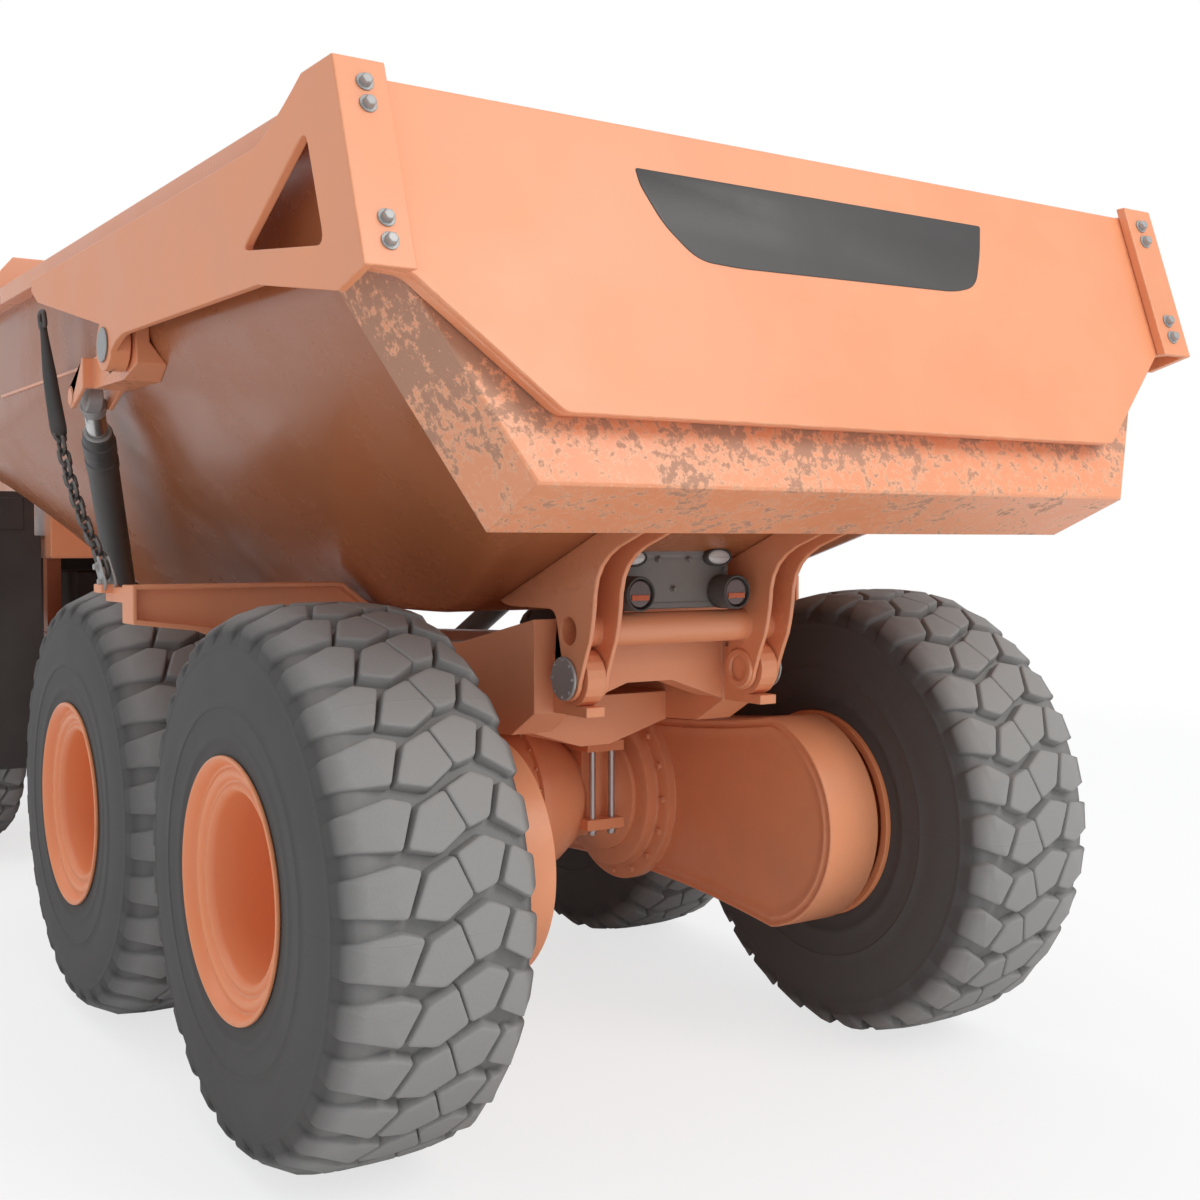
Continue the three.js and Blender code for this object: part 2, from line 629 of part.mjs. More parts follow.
function rearFrame() {
  const y = (fromRearAxle) => rearAxleY + fromRearAxle;
  const rail = plateX([[frameFrontY, 1300], [y(-2300), 1380], [y(-392), 1451], [railRearY, 1550],
    [railRearY, 1255], [y(-47), 1174], [y(-1900), 1080], [y(-3000), 800], [frameFrontY, 760]],
  railInnerX, railOuterX);
  const lugX0 = innerPlateX + swing;
  const lugX1 = outerPlateX - hingePlate - swing;
  const lug = join(
    rod(v(lugX0, bedHingeY, bedHingeZ), v(lugX1, bedHingeY, bedHingeZ), 88, 20),
    plateX([[railRearY - 10, 1440], [bedHingeY - 55, 1438], [bedHingeY, 1400], [bedHingeY, 1290],
      [railRearY - 10, 1256]], lugX0, lugX1),
    box(lugX0, lugX1, railRearY - 10, bedHingeY + 80, 1256, 1286),
  );
  const bulkhead = box(-railOuterX, railOuterX, frameFrontY, frameFrontY + 60, 700, 1300);
  const bore = bearingRadius + bearingPlay;
  const ring = turned([[bore, 0], [320, 0], [320, bearingDepth], [bore, bearingDepth], [bore, 0]],
    v(0, frameFrontY + 20, bearingZ), v(0, frameFrontY - 20, bearingZ), 28);
  const cross = (near, far, z0, z1) => box(-railInnerX - 1, railInnerX + 1, y(near), y(far), z0, z1);
  const tail = plateY([[-301, 1262], [-90, 1334], [90, 1334], [301, 1262], [301, 1460], [-301, 1460]],
    y(-60), y(90));
  const saddle = plateY([[-446, 1260], [-446, 1205], [-60, 1087], [60, 1087], [446, 1205], [446, 1260]],
    y(-1450), y(-230));
  const leg = box(225, 350, bogieY - 150, bogieY + 210, clampTopZ + seat, 1200);
  const steelwork = join(bothSides(join(rail, lug, leg, hoistFootBracket())), bulkhead, ring, tail, saddle,
    cross(-2300, -2180, 1100, 1380), cross(-3100, -2980, 1040, 1300), cross(-912, -792, 1200, 1420));
  const hingeBore = rod(v(-railOuterX, bedHingeY, bedHingeZ), v(railOuterX, bedHingeY, bedHingeZ),
    hingePinRadius + pinPlay, 20);
  return steelwork.subtract(centreAxle(seat)).subtract(hingeBore);
}

function hoistFootBracket() {
  const { x, y, z } = hoistFoot;
  const bracket = box(railOuterX - 20, x - 30, y - 90, y + 45, z - 80, z + 130);
  const pocket = hoistBallRadius + seat;
  return bracket.subtract(box(x - pocket, x + pocket, y - pocket, y + pocket, z - pocket, z + pocket));
}

const clampTopZ = 1040;
const shaftZ = 930;

// The driven axle across the bogie pivot. A grown copy of it cuts its seat in the frame.
function centreAxle(grow = 0) {
  const end = pivotBossX - seat;
  const half = [[differentialRadius, 20], [285, 110], [215, 220], [axleTubeRadius, 290],
    [axleTubeRadius, 370], [225, 430], [235, end], [0, end]]
    .map(([radius, along]) => [radius > 0 ? radius + grow : 0, along]);
  const tube = turned(doubled(half), v(0, bogieY, axleZ), v(1, bogieY, axleZ), 16);
  const clamp = join(
    box(205, 370, bogieY - 150, bogieY + 262, clampTopZ - 38, clampTopZ),
    box(205, 370, bogieY - 150, bogieY + 262, 705, 745),
    box(225, 350, bogieY - 150, bogieY + 210, 744, clampTopZ - 37),
  );
  const nose = rod(v(0, bogieY - 480, shaftZ), v(0, bogieY, shaftZ), 100 + grow);
  return join(tube, bothSides(clamp), nose);
}

function driveShaft() {
  return rod(v(0, frameFrontY + 60 + seat, shaftZ), v(0, bogieY - 480 - seat, shaftZ), 52, 14);
}

function outrigger() {
  const near = bogieY - 60;
  const far = bogieY + 60;
  const inner = railOuterX + seat;
  const outline = [[inner, 1200], [1187, 1493], [1425, 1523], [1425, 1650], [690, 1650], [inner, 1470]];
  const pocket = [[inner + 40, 1262], [1180, 1510], [1410, 1539], [1410, 1636], [695, 1636],
    [inner + 40, 1474]];
  const bracket = join(
    box(1395, 1425, near - 190, near + 1, 1590, 1640),
    box(1405, 1465, near - 190, near - 100, 1620, chainFootZ - linkRadius - seat),
  );
  return plateY(outline, near, far).subtract(plateY(pocket, far - 45, far + 1)).add(bracket);
}

function tandemCase() {
  const half = tandemSpacing / 2;
  const shape = new THREE.Shape();
  const lean = Math.PI / 2 - 0.18;
  shape.absarc(half, 0, caseEndRadius, -lean, lean, false);
  shape.quadraticCurveTo(0, 2 * caseWaist - caseEndRadius - 20, -half + caseEndRadius * Math.cos(lean),
    caseEndRadius * Math.sin(lean));
  shape.absarc(-half, 0, caseEndRadius, Math.PI - lean, Math.PI + lean, false);
  shape.quadraticCurveTo(0, 20 + caseEndRadius - 2 * caseWaist, half + caseEndRadius * Math.cos(lean),
    -caseEndRadius * Math.sin(lean));
  const body = plateX(shape, caseInnerX, caseOuterX, 6);
  const boss = turned([[0, pivotBossX], [300, pivotBossX], [300, 500], [360, 510], [360, caseInnerX + 5],
    [0, caseInnerX + 5]], v(0, 0, 0), v(1, 0, 0), 22);
  const hubEnd = wheelX + discOffset - seat;
  const hub = (y) => rod(v(caseOuterX - 5, y, 0), v(hubEnd, y, 0), hubRadius);
  return join(body, boss, hub(half), hub(-half));
}

// ---------- dump bed ----------
// Stations along the bed: y from the rear axle, then the half section's floor height, floor half
// width, knee height and side top height.
const bedStations = [
  { y: -3900, floor: 2126, bottom: 1150, knee: 2190, top: 3000 },
  { y: -2950, floor: 1552, bottom: 720, knee: 2299, top: bedSideTopZ },
  { y: -1700, floor: 1552, bottom: 520, knee: 2440, top: bedSideTopZ },
  { y: -330, floor: 1552, bottom: 520, knee: 2445, top: bedSideTopZ },
  { y: 1300, floor: 2172, bottom: 1010, knee: 2410, top: bedSideTopZ },
];
const bilgeBulge = 0.035;

// A closed ring round the bed at one station. A positive inset shrinks it, as for the load space.
function bedRing({ y, floor, bottom, knee, top }, inset, rise) {
  const wide = bedHalfWidth - inset;
  const low = [bottom - inset * 0.5, floor + inset];
  const high = [wide, knee + inset * 0.4];
  const half = [];
  const steps = 5;
  for (let i = 0; i <= steps; i++) {
    const t = i / steps;
    const bulge = Math.sin(Math.PI * t) * bilgeBulge;
    half.push([
      low[0] + (high[0] - low[0]) * t + (high[1] - low[1]) * bulge,
      low[1] + (high[1] - low[1]) * t - (high[0] - low[0]) * bulge,
    ]);
  }
  half.push([wide, top + rise]);
  const ring = [...half, ...half.map(([x, z]) => [-x, z]).reverse()];
  return ring.map(([x, z]) => v(x, rearAxleY + y, z));
}

const bedBody = (inset, rise, stations = bedStations) =>
  loft(stations.map((station) => bedRing(station, inset, rise)));

// Everything behind the slanted plane whose foot on the ground is at y.
const behindPlane = (y) => plateY([[-2000, -500], [2000, -500], [2000, 4500], [-2000, 4500]],
  y, y + 3000, gateSlope);

function rearCollar() {
  const frontFoot = rimPlaneY - 296;
  const ring = (foot, outline) => [...outline, ...outline.map(([x, z]) => [-x, z]).reverse()]
    .map(([x, z]) => v(x, foot - z * gateSlope, z));
  return loft([
    ring(frontFoot, [[1052, 1814], [1353, 2403], [1353, bedSideTopZ]]),
    ring(rimPlaneY, [[1058, 1922], [1353, 2450], [1353, bedSideTopZ]]),
  ]);
}

function dumpBed() {
  const [headboardStation, ...others] = bedStations;
  const stations = [{ ...headboardStation, y: headboardStation.y + bedWall }, ...others];
  const loadSpace = bedBody(bedWall, 600, stations);
  const topRail = bothSides(box(bedHalfWidth - 1, bedHalfWidth + 62, rearAxleY - 3300, rearAxleY + 640,
    bedSideTopZ - 70, bedSideTopZ));
  const headboard = plateY([[-1150, 2200], [1150, 2200], [1349, 2300], [1349, 2990], [1200, 3089],
    [1086, headboardTopZ], [-1086, headboardTopZ], [-1200, 3089], [-1349, 2990], [-1349, 2300]],
  bedFrontY, bedFrontY + bedWall);
  const rib = (x) => box(x - 45, x + 45, bedFrontY - 45, bedFrontY + 1, 2250, headboardTopZ - 60);
  return join(bedBody(0, 0), rearCollar())
    .subtract(loadSpace)
    .add(join(topRail, headboard, rib(-560), rib(0), rib(560)))
    .subtract(behindPlane(rimPlaneY));
}

// Twin plates on each side that hang the bed on its hinge, with the tube across them.
function bedHingeFrame() {
  const y = (fromRearAxle) => rearAxleY + fromRearAxle;
  const outline = new THREE.Shape();
  outline.moveTo(y(146), 1372);
  outline.absarc(bedHingeY, bedHingeZ, 72, Math.PI + 0.3, 2 * Math.PI - 0.1, false);
  outline.quadraticCurveTo(y(300), 1430, y(330), 1490);
  outline.quadraticCurveTo(y(352), 1560, y(358), 1640);
  outline.quadraticCurveTo(y(370), 1730, y(480), 1775);
  outline.lineTo(y(700), 1850);
  outline.lineTo(y(860), 2060);
  outline.lineTo(y(-206), 1660);
  outline.lineTo(y(-206), 1600);
  outline.quadraticCurveTo(y(-160), 1582, y(-120), 1582);
  outline.lineTo(y(100), 1582);
  outline.quadraticCurveTo(y(142), 1580, y(146), 1545);
  const plates = plateX(outline, outerPlateX - hingePlate, outerPlateX)
    .add(plateX(outline, innerPlateX - hingePlate, innerPlateX));
  const tube = rod(v(-outerPlateX, crossTubeY, crossTubeZ), v(outerPlateX, crossTubeY, crossTubeZ),
    crossTubeRadius);
  const bore = rod(v(-500, crossTubeY, crossTubeZ), v(500, crossTubeY, crossTubeZ), 43);
  const pinEnd = (x, radius, length) => rod(v(x, bedHingeY, bedHingeZ), v(x + length, bedHingeY, bedHingeZ),
    radius, 20);
  const pin = pinEnd(innerPlateX - hingePlate, hingePinRadius, outerPlateX - innerPlateX + hingePlate)
    .add(pinEnd(outerPlateX - 2, 65, 8));
  return bothSides(plates.add(pin)).add(tube).subtract(bore).subtract(bedBody(-seat, 0));
}

function lightPanel() {
  const y = crossTubeY - 10;
  const panel = box(-225, 225, y, y + 14, crossTubeZ + 60, 1812);
  const lamp = (x, z, r, out) => rod(v(x, y + 13, z), v(x, y + 13 + out, z), r, 16);
  const stay = box(200, innerPlateX - hingePlate - seat, y, y + 14, 1600, 1680);
  return join(panel, bothSides(join(lamp(190, 1630, 55, 90), lamp(170, 1745, 45, 60), stay)))
    .subtract(bedBody(-seat, 0));
}

// Bracket on the bed's side with the arm's pivot pin, and the fork that holds the hoist's rod.
function liftBracket() {
  const pinTip = armOuterX + 7;
  const pin = rod(v(bedHalfWidth + seat, armPivotY, armPivotZ), v(pinTip, armPivotY, armPivotZ),
    armPinRadius);
  const cap = rod(v(armOuterX + 1, armPivotY, armPivotZ), v(pinTip, armPivotY, armPivotZ), 58);
  const blockY = hoistEye.y + 140;
  const block = plateX([[blockY, 2330], [armPivotY - 40, 2330], [armPivotY + 120, 2370],
    [armPivotY + 110, 2490], [armPivotY - 60, 2520], [blockY, 2440]], 1200, 1396);
  const forkOutline = new THREE.Shape();
  forkOutline.absarc(hoistEye.y, hoistEye.z, 42, Math.PI * 0.6, Math.PI * 1.6, false);
  forkOutline.lineTo(blockY + 20, 2330);
  forkOutline.lineTo(blockY + 20, 2436);
  const cheek = (x0, x1) => plateX(forkOutline, x0, x1, 7);
  const web = box(1290, 1438, blockY, blockY + 20, 2330, 2436);
  const eyeCap = rod(v(1438, hoistEye.y, hoistEye.z), v(1441, hoistEye.y, hoistEye.z), 34, 16);
  return join(pin, cap, block, cheek(1290, 1306), cheek(1422, 1438), web, eyeCap)
    .subtract(bedBody(-seat, 0));
}

// ---------- tailgate ----------
const gateInnerPlaneY = rimPlaneY + gateGap;
const gatePanelHalfWidth = armInnerX - 4;

function tailgatePanel() {
  const top = 2862;
  const outline = [[-990, 2088], [990, 2088], [1339, 2393], [gatePanelHalfWidth, 2400],
    [gatePanelHalfWidth, top], [-gatePanelHalfWidth, top], [-gatePanelHalfWidth, 2400], [-1339, 2393]];
  return plateY(outline, gateInnerPlaneY, gateOuterPlaneY, gateSlope);
}

function tailgateArm() {
  const y = (fromRearAxle) => rearAxleY + fromRearAxle;
  const boss = 85;
  const outline = new THREE.Shape();
  outline.moveTo(y(902), 2892);
  outline.lineTo(y(724), 2892);
  outline.quadraticCurveTo(y(530), 2800, y(416), 2783);
  outline.lineTo(y(-1885), 2783);
  outline.lineTo(y(-1890), 2740);
  outline.lineTo(y(-1800), 2688);
  outline.absarc(armPivotY, armPivotZ, boss, Math.PI * 0.68, Math.PI * 1.6, false);
  outline.quadraticCurveTo(y(-850), 2440, y(-717), 2450);
  outline.lineTo(y(434), 2438);
  outline.lineTo(y(924), 2356);
  outline.lineTo(y(1067) , 2394);
  const hole = roundedShape([[y(746), 2758], [y(852), 2470], [y(330), 2540]], 45);
  const back = gateOuterPlaneY + gateFlange;
  const flange = plateY([[1337, 2394], [armOuterX, 2394], [armOuterX, 2892], [1337, 2892]],
    gateOuterPlaneY + 2 * seat, back, gateSlope);
  const bossRing = rod(v(1402, armPivotY, armPivotZ), v(armOuterX, armPivotY, armPivotZ), boss, 20);
  const bore = rod(v(1300, armPivotY, armPivotZ), v(1600, armPivotY, armPivotZ), armPinRadius + 1);
  return plateX(outline, armInnerX, armOuterX, 7).subtract(plateX(hole, armInnerX - 5, armOuterX + 5))
    .subtract(behindPlane(back)).add(flange).add(bossRing).subtract(bore);
}

// ---------- check chains: a rubber sleeve over the upper part and bare links below ----------
const chainRoute = [[-1045, chainFootZ], [-1120, 1745], [-1265, 1827], [-1400, 1927], [-1520, 2040],
  [-1640, 2190], [-1760, 2400], [-1876, 2664]].map(([y, z]) => v(chainX, rearAxleY + y, z));

function checkChain() {
  const route = new THREE.CatmullRomCurve3(chainRoute);
  const upper = new THREE.CatmullRomCurve3(chainRoute.slice(5));
  const sweep = (path, radius, steps) => solidOf(new THREE.ExtrudeGeometry(
    new THREE.Shape().absarc(0, 0, radius, 0, 2 * Math.PI), { steps, extrudePath: path, curveSegments: 4 },
  ));
  return join(sweep(route, linkRadius * 0.8, 18), sweep(upper, sleeveRadius, 6),
    ball(chainRoute[0], linkRadius, 8));
}

// ---------- hoist cylinders ----------
const hoistLength = hoistEye.distanceTo(hoistFoot);
const alongHoist = (distance) =>
  hoistFoot.clone().addScaledVector(hoistEye.clone().sub(hoistFoot).normalize(), distance);

function hoistBarrel() {
  const length = hoistLength - rodShown;
  const tube = turned([[0, 100], [barrelRadius, 100], [barrelRadius, length - 40],
    [barrelRadius - 8, length], [barrelBore, length], [barrelBore, 130], [0, 130]], hoistFoot, hoistEye, 16);
  return join(tube, rod(hoistFoot, alongHoist(105), 40, 16), ball(hoistFoot, hoistBallRadius));
}

function hoistRod() {
  const eyeHalf = 28;
  const shaft = rod(alongHoist(pistonStart + 1), alongHoist(hoistLength - 20), rodRadius, 14);
  const piston = rod(alongHoist(pistonStart), alongHoist(pistonStart + pistonLength),
    barrelBore - pinPlay, 16);
  const eye = rod(v(hoistEye.x - eyeHalf, hoistEye.y, hoistEye.z),
    v(hoistEye.x + eyeHalf, hoistEye.y, hoistEye.z), 50);
  return join(shaft, piston, eye);
}

// ---------- assembly ----------
const front = new THREE.Group();
add(front, 'front_frame', orange, frontFrame());
add(front, 'front_bumper', dark, frontBumper());
add(front, 'engine_block', dark, engineBlock());
add(front, 'front_axle', orange, frontAxle());
add(front, 'cab_shell', orange, cabShell());
add(front, 'windscreen', glassy, windscreen());
add(front, 'rear_window', glassy, rearWindow());
add(front, 'right_window', glassy, rightWindow());
add(front, 'cab_door', orange, cabDoor());
add(front, 'cab_door_glass', glassy, cabDoorGlass());
add(front, 'seat_base', dark, seatBase());
add(front, 'operator_seat', cloth, operatorSeat());
add(front, 'dash_console', dark, dashConsole());
add(front, 'engine_hood', orange, engineHood());
add(front, 'radiator_grille', dark, radiatorGrille());
addPair(front, 'front_fender', dark, frontFender());
add(front, 'exhaust_stack', steel, exhaustStack());
addPair(front, 'mirror', dark, mirror());
addPair(front, 'steer_barrel', dark, steerBarrel());
addPair(front, 'steer_rod', steel, steerRod());
addWheel(front, 'front_left', 1, frontAxleY);
addWheel(front, 'front_right', -1, frontAxleY);

const rear = new THREE.Group();
add(rear, 'articulation_hitch', dark, articulationHitch());
add(rear, 'rear_frame', orange, rearFrame());
add(rear, 'centre_axle', orange, centreAxle());
add(rear, 'drive_shaft', steel, driveShaft());
addPair(rear, 'outrigger', orange, outrigger());
for (const [name, side] of [['left', 1], ['right', -1]]) {
  const bogie = new THREE.Group();
  bogie.position.set(0, bogieY, axleZ);
  const solid = side > 0 ? tandemCase() : mirrored(tandemCase());
  add(bogie, `tandem_case_${name}`, orange, solid);
  rear.add(bogie);
  addWheel(rear, `middle_${name}`, side, midAxleY);
  addWheel(rear, `rear_${name}`, side, rearAxleY);
}
addPair(rear, 'hoist_barrel', dark, hoistBarrel());
addPair(rear, 'hoist_rod', steel, hoistRod());
addPair(rear, 'check_chain', dark, checkChain());

const bed = new THREE.Group();
add(bed, 'dump_bed', orange, dumpBed());
add(bed, 'bed_hinge_frame', orange, bedHingeFrame());
add(bed, 'light_panel', dark, lightPanel());
addPair(bed, 'lift_bracket', orange, liftBracket());
add(bed, 'tailgate_panel', orange, tailgatePanel());
addPair(bed, 'tailgate_arm', orange, tailgateArm());

truck.add(front, rear, bed);

export default truck;
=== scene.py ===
# Articulated dump truck: the finish, tread, chains, bolts, lamps and cab fittings round the CAD frame.
# Metres, with +X the truck's left, +Y its tail and +Z up. The origin is on the ground under its middle.
import math

import bmesh
import bpy
import numpy as np
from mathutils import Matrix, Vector


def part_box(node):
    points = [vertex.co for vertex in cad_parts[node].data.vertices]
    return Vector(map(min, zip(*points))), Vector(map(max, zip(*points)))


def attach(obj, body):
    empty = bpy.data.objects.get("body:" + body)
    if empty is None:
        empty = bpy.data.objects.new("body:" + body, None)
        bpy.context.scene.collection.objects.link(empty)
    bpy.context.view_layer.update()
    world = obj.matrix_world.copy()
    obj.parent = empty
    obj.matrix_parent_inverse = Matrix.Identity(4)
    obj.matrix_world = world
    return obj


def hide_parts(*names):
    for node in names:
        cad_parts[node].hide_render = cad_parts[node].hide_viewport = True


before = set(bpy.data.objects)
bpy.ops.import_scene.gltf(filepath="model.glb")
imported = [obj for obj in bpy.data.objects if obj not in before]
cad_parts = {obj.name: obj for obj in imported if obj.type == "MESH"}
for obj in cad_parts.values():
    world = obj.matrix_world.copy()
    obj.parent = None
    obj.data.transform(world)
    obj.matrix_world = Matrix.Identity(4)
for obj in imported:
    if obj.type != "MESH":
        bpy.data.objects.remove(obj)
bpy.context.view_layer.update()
scene = bpy.context.scene
scene.view_settings.view_transform = "Standard"
both_sides = (("left", 1), ("right", -1))

# ---------------------------------------------------------------- studio
# A low camera behind the truck's left rear wheel, a pale floor that runs out into white, one broad
# soft lamp behind and above the tail, and an even sky that fills the shaded sides.
camera_place = Vector((2.8714, 7.6701, 1.789))
camera_yaw, camera_pitch = math.radians(33.882), math.radians(-2.192)
camera = bpy.data.objects.new("camera", bpy.data.cameras.new("camera"))
camera.data.lens, camera.data.sensor_width = 44.96, 36
camera.location = camera_place
heading = Vector((-math.sin(camera_yaw) * math.cos(camera_pitch),
                  -math.cos(camera_yaw) * math.cos(camera_pitch), math.sin(camera_pitch)))
camera.rotation_mode = "QUATERNION"
camera.rotation_quaternion = heading.to_track_quat("-Z", "Y")
scene.collection.objects.link(camera)
scene.camera = camera


def wire(tree, kind, settings=(), **sources):
    """Adds a shader node, sets its properties, and feeds its inputs from other outputs or plain values."""
    node = tree.nodes.new("ShaderNode" + kind)
    for label, value in dict(settings).items():
        setattr(node, label, value)
    for label, source in sources.items():
        socket = node.inputs[int(label[1:])] if label[1:].isdigit() else node.inputs[label.replace("_", " ")]
        if isinstance(source, bpy.types.NodeSocket):
            tree.links.new(source, socket)
        else:
            socket.default_value = source
    return node


def maths(tree, operation, *values):
    """The result of one sum or product of the values."""
    sources = {f"i{place}": value for place, value in enumerate(values)}
    return wire(tree, "Math", {"operation": operation}, **sources).outputs[0]


def blend(tree, share, under, over):
    """A colour that goes from under to over as the share goes from 0 to 1."""
    return wire(tree, "Mix", {"data_type": "RGBA"}, i0=share, i6=under, i7=over).outputs[2]


def ramp(tree, value, low, high, start=0.0, end=1.0):
    """A straight ramp from start, where the value is low, to end, where it is high, level outside."""
    return wire(tree, "MapRange", Value=value, From_Min=low, From_Max=high, To_Min=start,
                To_Max=end).outputs["Result"]


world = bpy.data.worlds.new("studio")
world.use_nodes = True
scene.world = world
sky = world.node_tree
sky_light = wire(sky, "Background", Color=(0.93, 0.96, 1.0, 1), Strength=0.72)
sky_paper = wire(sky, "Background", Color=(1, 1, 1, 1))
sky_mix = wire(sky, "MixShader", Fac=wire(sky, "LightPath").outputs["Is Camera Ray"],
               i1=sky_light.outputs["Background"], i2=sky_paper.outputs["Background"])
sky.links.new(sky_mix.outputs["Shader"], sky.nodes["World Output"].inputs["Surface"])


def area_lamp(name, place, target, size, power, tint):
    """A square lamp of the given side that faces its target."""
    lamp = bpy.data.objects.new(name, bpy.data.lights.new(name, "AREA"))
    lamp.data.size, lamp.data.energy, lamp.data.color = size, power, tint
    lamp.location = place
    lamp.rotation_euler = (Vector(target) - Vector(place)).to_track_quat("-Z", "Y").to_euler()
    scene.collection.objects.link(lamp)


area_lamp("key", (-3.5, 12.5, 8.5), (0, 2.5, 1.5), 6.0, 620, (1.0, 0.98, 0.95))
area_lamp("top", (1.5, -1.0, 11.0), (0, 0.5, 1.0), 9.0, 420, (1.0, 1.0, 1.0))

floor_radius = 60
floor_mesh = bpy.data.meshes.new("floor")
floor_corners = [(x * floor_radius, y * floor_radius, 0) for x, y in ((-1, -1), (1, -1), (1, 1), (-1, 1))]
floor_mesh.from_pydata(floor_corners, [], [(0, 1, 2, 3)])
floor = bpy.data.objects.new("floor", floor_mesh)
scene.collection.objects.link(floor)
paper = bpy.data.materials.new("paper_floor")
paper.use_nodes = True
paper_tree = paper.node_tree
lit_paper = paper_tree.nodes["Principled BSDF"]
lit_paper.inputs["Base Color"].default_value = (0.93, 0.93, 0.935, 1)
lit_paper.inputs["Roughness"].default_value = 0.55
white = wire(paper_tree, "Emission", Color=(1, 1, 1, 1))
from_middle = wire(paper_tree, "VectorMath", {"operation": "LENGTH"},
                   i0=wire(paper_tree, "TexCoord").outputs["Object"])
fade = ramp(paper_tree, from_middle.outputs["Value"], 5.0, 12.0, 0.72)
share_white = maths(paper_tree, "MULTIPLY", fade, wire(paper_tree, "LightPath").outputs["Is Camera Ray"])
floor_mix = wire(paper_tree, "MixShader", Fac=share_white, i1=lit_paper.outputs["BSDF"],
                 i2=white.outputs["Emission"])
paper_tree.links.new(floor_mix.outputs["Shader"], paper_tree.nodes["Material Output"].inputs["Surface"])
floor.data.materials.append(paper)

# ---------------------------------------------------------------- paint on the frames and axles
# Welded plate and castings under satin orange paint. Dust dulls it in patches, and the paint is thin and
# paler along edges, in broken flecks.


def new_group(name, inputs, outputs):
    """An empty shader node group with its sockets, its input node and its output node."""
    group = bpy.data.node_groups.new(name, "ShaderNodeTree")
    for label, kind, value in inputs:
        socket = group.interface.new_socket(label, in_out="INPUT", socket_type=f"NodeSocket{kind}")
        socket.default_value = value
    for label, kind in outputs:
        group.interface.new_socket(label, in_out="OUTPUT", socket_type=f"NodeSocket{kind}")
    return group, group.nodes.new("NodeGroupInput"), group.nodes.new("NodeGroupOutput")


def build_weathering():
    """Patchy tone, fine grain, scratches and dust from noises on object coordinates."""
    group, given, out = new_group(
        "weathering",
        [("Place", "Vector", (0, 0, 0)), ("Colour", "Color", (1, 1, 1, 1)), ("Dust colour", "Color", (1, 1, 1, 1)),
         ("Dust", "Float", 0.2), ("Grain size", "Float", 90.0), ("Roughness", "Float", 0.4)],
        [("Colour", "Color"), ("Roughness", "Float"), ("Height", "Float")])
    place = given.outputs["Place"]
    patches = wire(group, "TexNoise", Vector=place, Scale=1.7, Detail=6.0, Roughness=0.62).outputs["Fac"]
    grain = wire(group, "TexNoise", Vector=place, Scale=given.outputs["Grain size"], Detail=3.0)
    blotch = ramp(group, patches, 0.42, 0.72)
    toned = wire(group, "VectorMath", {"operation": "SCALE"}, i0=given.outputs["Colour"],
                 Scale=ramp(group, patches, 0.25, 0.75, 0.9, 1.07))
    dusty = maths(group, "MULTIPLY", blotch, given.outputs["Dust"])
    mixed = blend(group, dusty, toned.outputs[0], given.outputs["Dust colour"])
    rough = maths(group, "MULTIPLY_ADD", blotch, 0.22, given.outputs["Roughness"])
    for label, source in (("Colour", mixed), ("Roughness", rough), ("Height", grain.outputs["Fac"])):
        group.links.new(source, out.inputs[label])
    return group


weathering = build_weathering()


def build_edge_rub():
    """How near a convex edge is: the rounded normal's lean away from the flat one, broken up by noise."""
    group, given, out = new_group(
        "edge_rub", [("Place", "Vector", (0, 0, 0)), ("Width", "Float", 0.006)],
        [("Rub", "Float"), ("Normal", "Vector")])
    rounded = wire(group, "Bevel", {"samples": 4}, Radius=given.outputs["Width"]).outputs["Normal"]
    lean = wire(group, "VectorMath", {"operation": "DOT_PRODUCT"}, i0=rounded,
                i1=wire(group, "NewGeometry").outputs["Normal"])
    flecks = wire(group, "TexNoise", Vector=given.outputs["Place"], Scale=24.0, Detail=5.0)
    rub = maths(group, "MULTIPLY", ramp(group, lean.outputs["Value"], 0.995, 0.86),
                ramp(group, flecks.outputs["Fac"], 0.4, 0.62))
    group.links.new(rub, out.inputs["Rub"])
    group.links.new(rounded, out.inputs["Normal"])
    return group


edge_rub = build_edge_rub()


def worn_finish(name, colour, roughness, metallic=0.0, dust=0.25, dust_colour=(0.5, 0.42, 0.36, 1), rub=0.5,
                rub_colour=(0.95, 0.55, 0.34, 1), grain=90.0, bump=0.04, coat=0.0, added_marks=None):
    """A painted, cast or moulded surface with weathering, rubbed edges and, where asked, added marks: rust, weave,
    mould lines and painted shade.
    """
    material = bpy.data.materials.new(name)
    material.use_nodes = True
    tree = material.node_tree
    shader = tree.nodes["Principled BSDF"]
    place = wire(tree, "TexCoord").outputs["Object"]
    worn = wire(tree, "Group", {"node_tree": weathering}, Place=place, Colour=colour, i2=dust_colour, Dust=dust,
                i4=grain, Roughness=roughness)
    edges = wire(tree, "Group", {"node_tree": edge_rub}, Place=place)
    rubbed = blend(tree, maths(tree, "MULTIPLY", edges.outputs["Rub"], rub), worn.outputs["Colour"], rub_colour)
    surface = rubbed, worn.outputs["Roughness"], worn.outputs["Height"]
    colour_out, rough_out, height = added_marks(tree, place, *surface) if added_marks else surface
    relief = wire(tree, "Bump", Strength=bump, Distance=0.01, Height=height, Normal=edges.outputs["Normal"])
    for label, source in (("Base Color", colour_out), ("Roughness", rough_out), ("Normal", relief.outputs["Normal"])):
        tree.links.new(source, shader.inputs[label])
    for label, value in (("Metallic", metallic), ("Coat Weight", coat), ("Coat Roughness", 0.12)):
        shader.inputs[label].default_value = value
    return material


orange = (0.86, 0.335, 0.165, 1)
frame_paint = worn_finish("frame_paint", orange, 0.36, dust=0.3, dust_colour=(0.42, 0.24, 0.16, 1))
axle_paint = worn_finish("axle_paint", orange, 0.34, dust=0.35, dust_colour=(0.38, 0.2, 0.13, 1), bump=0.08)


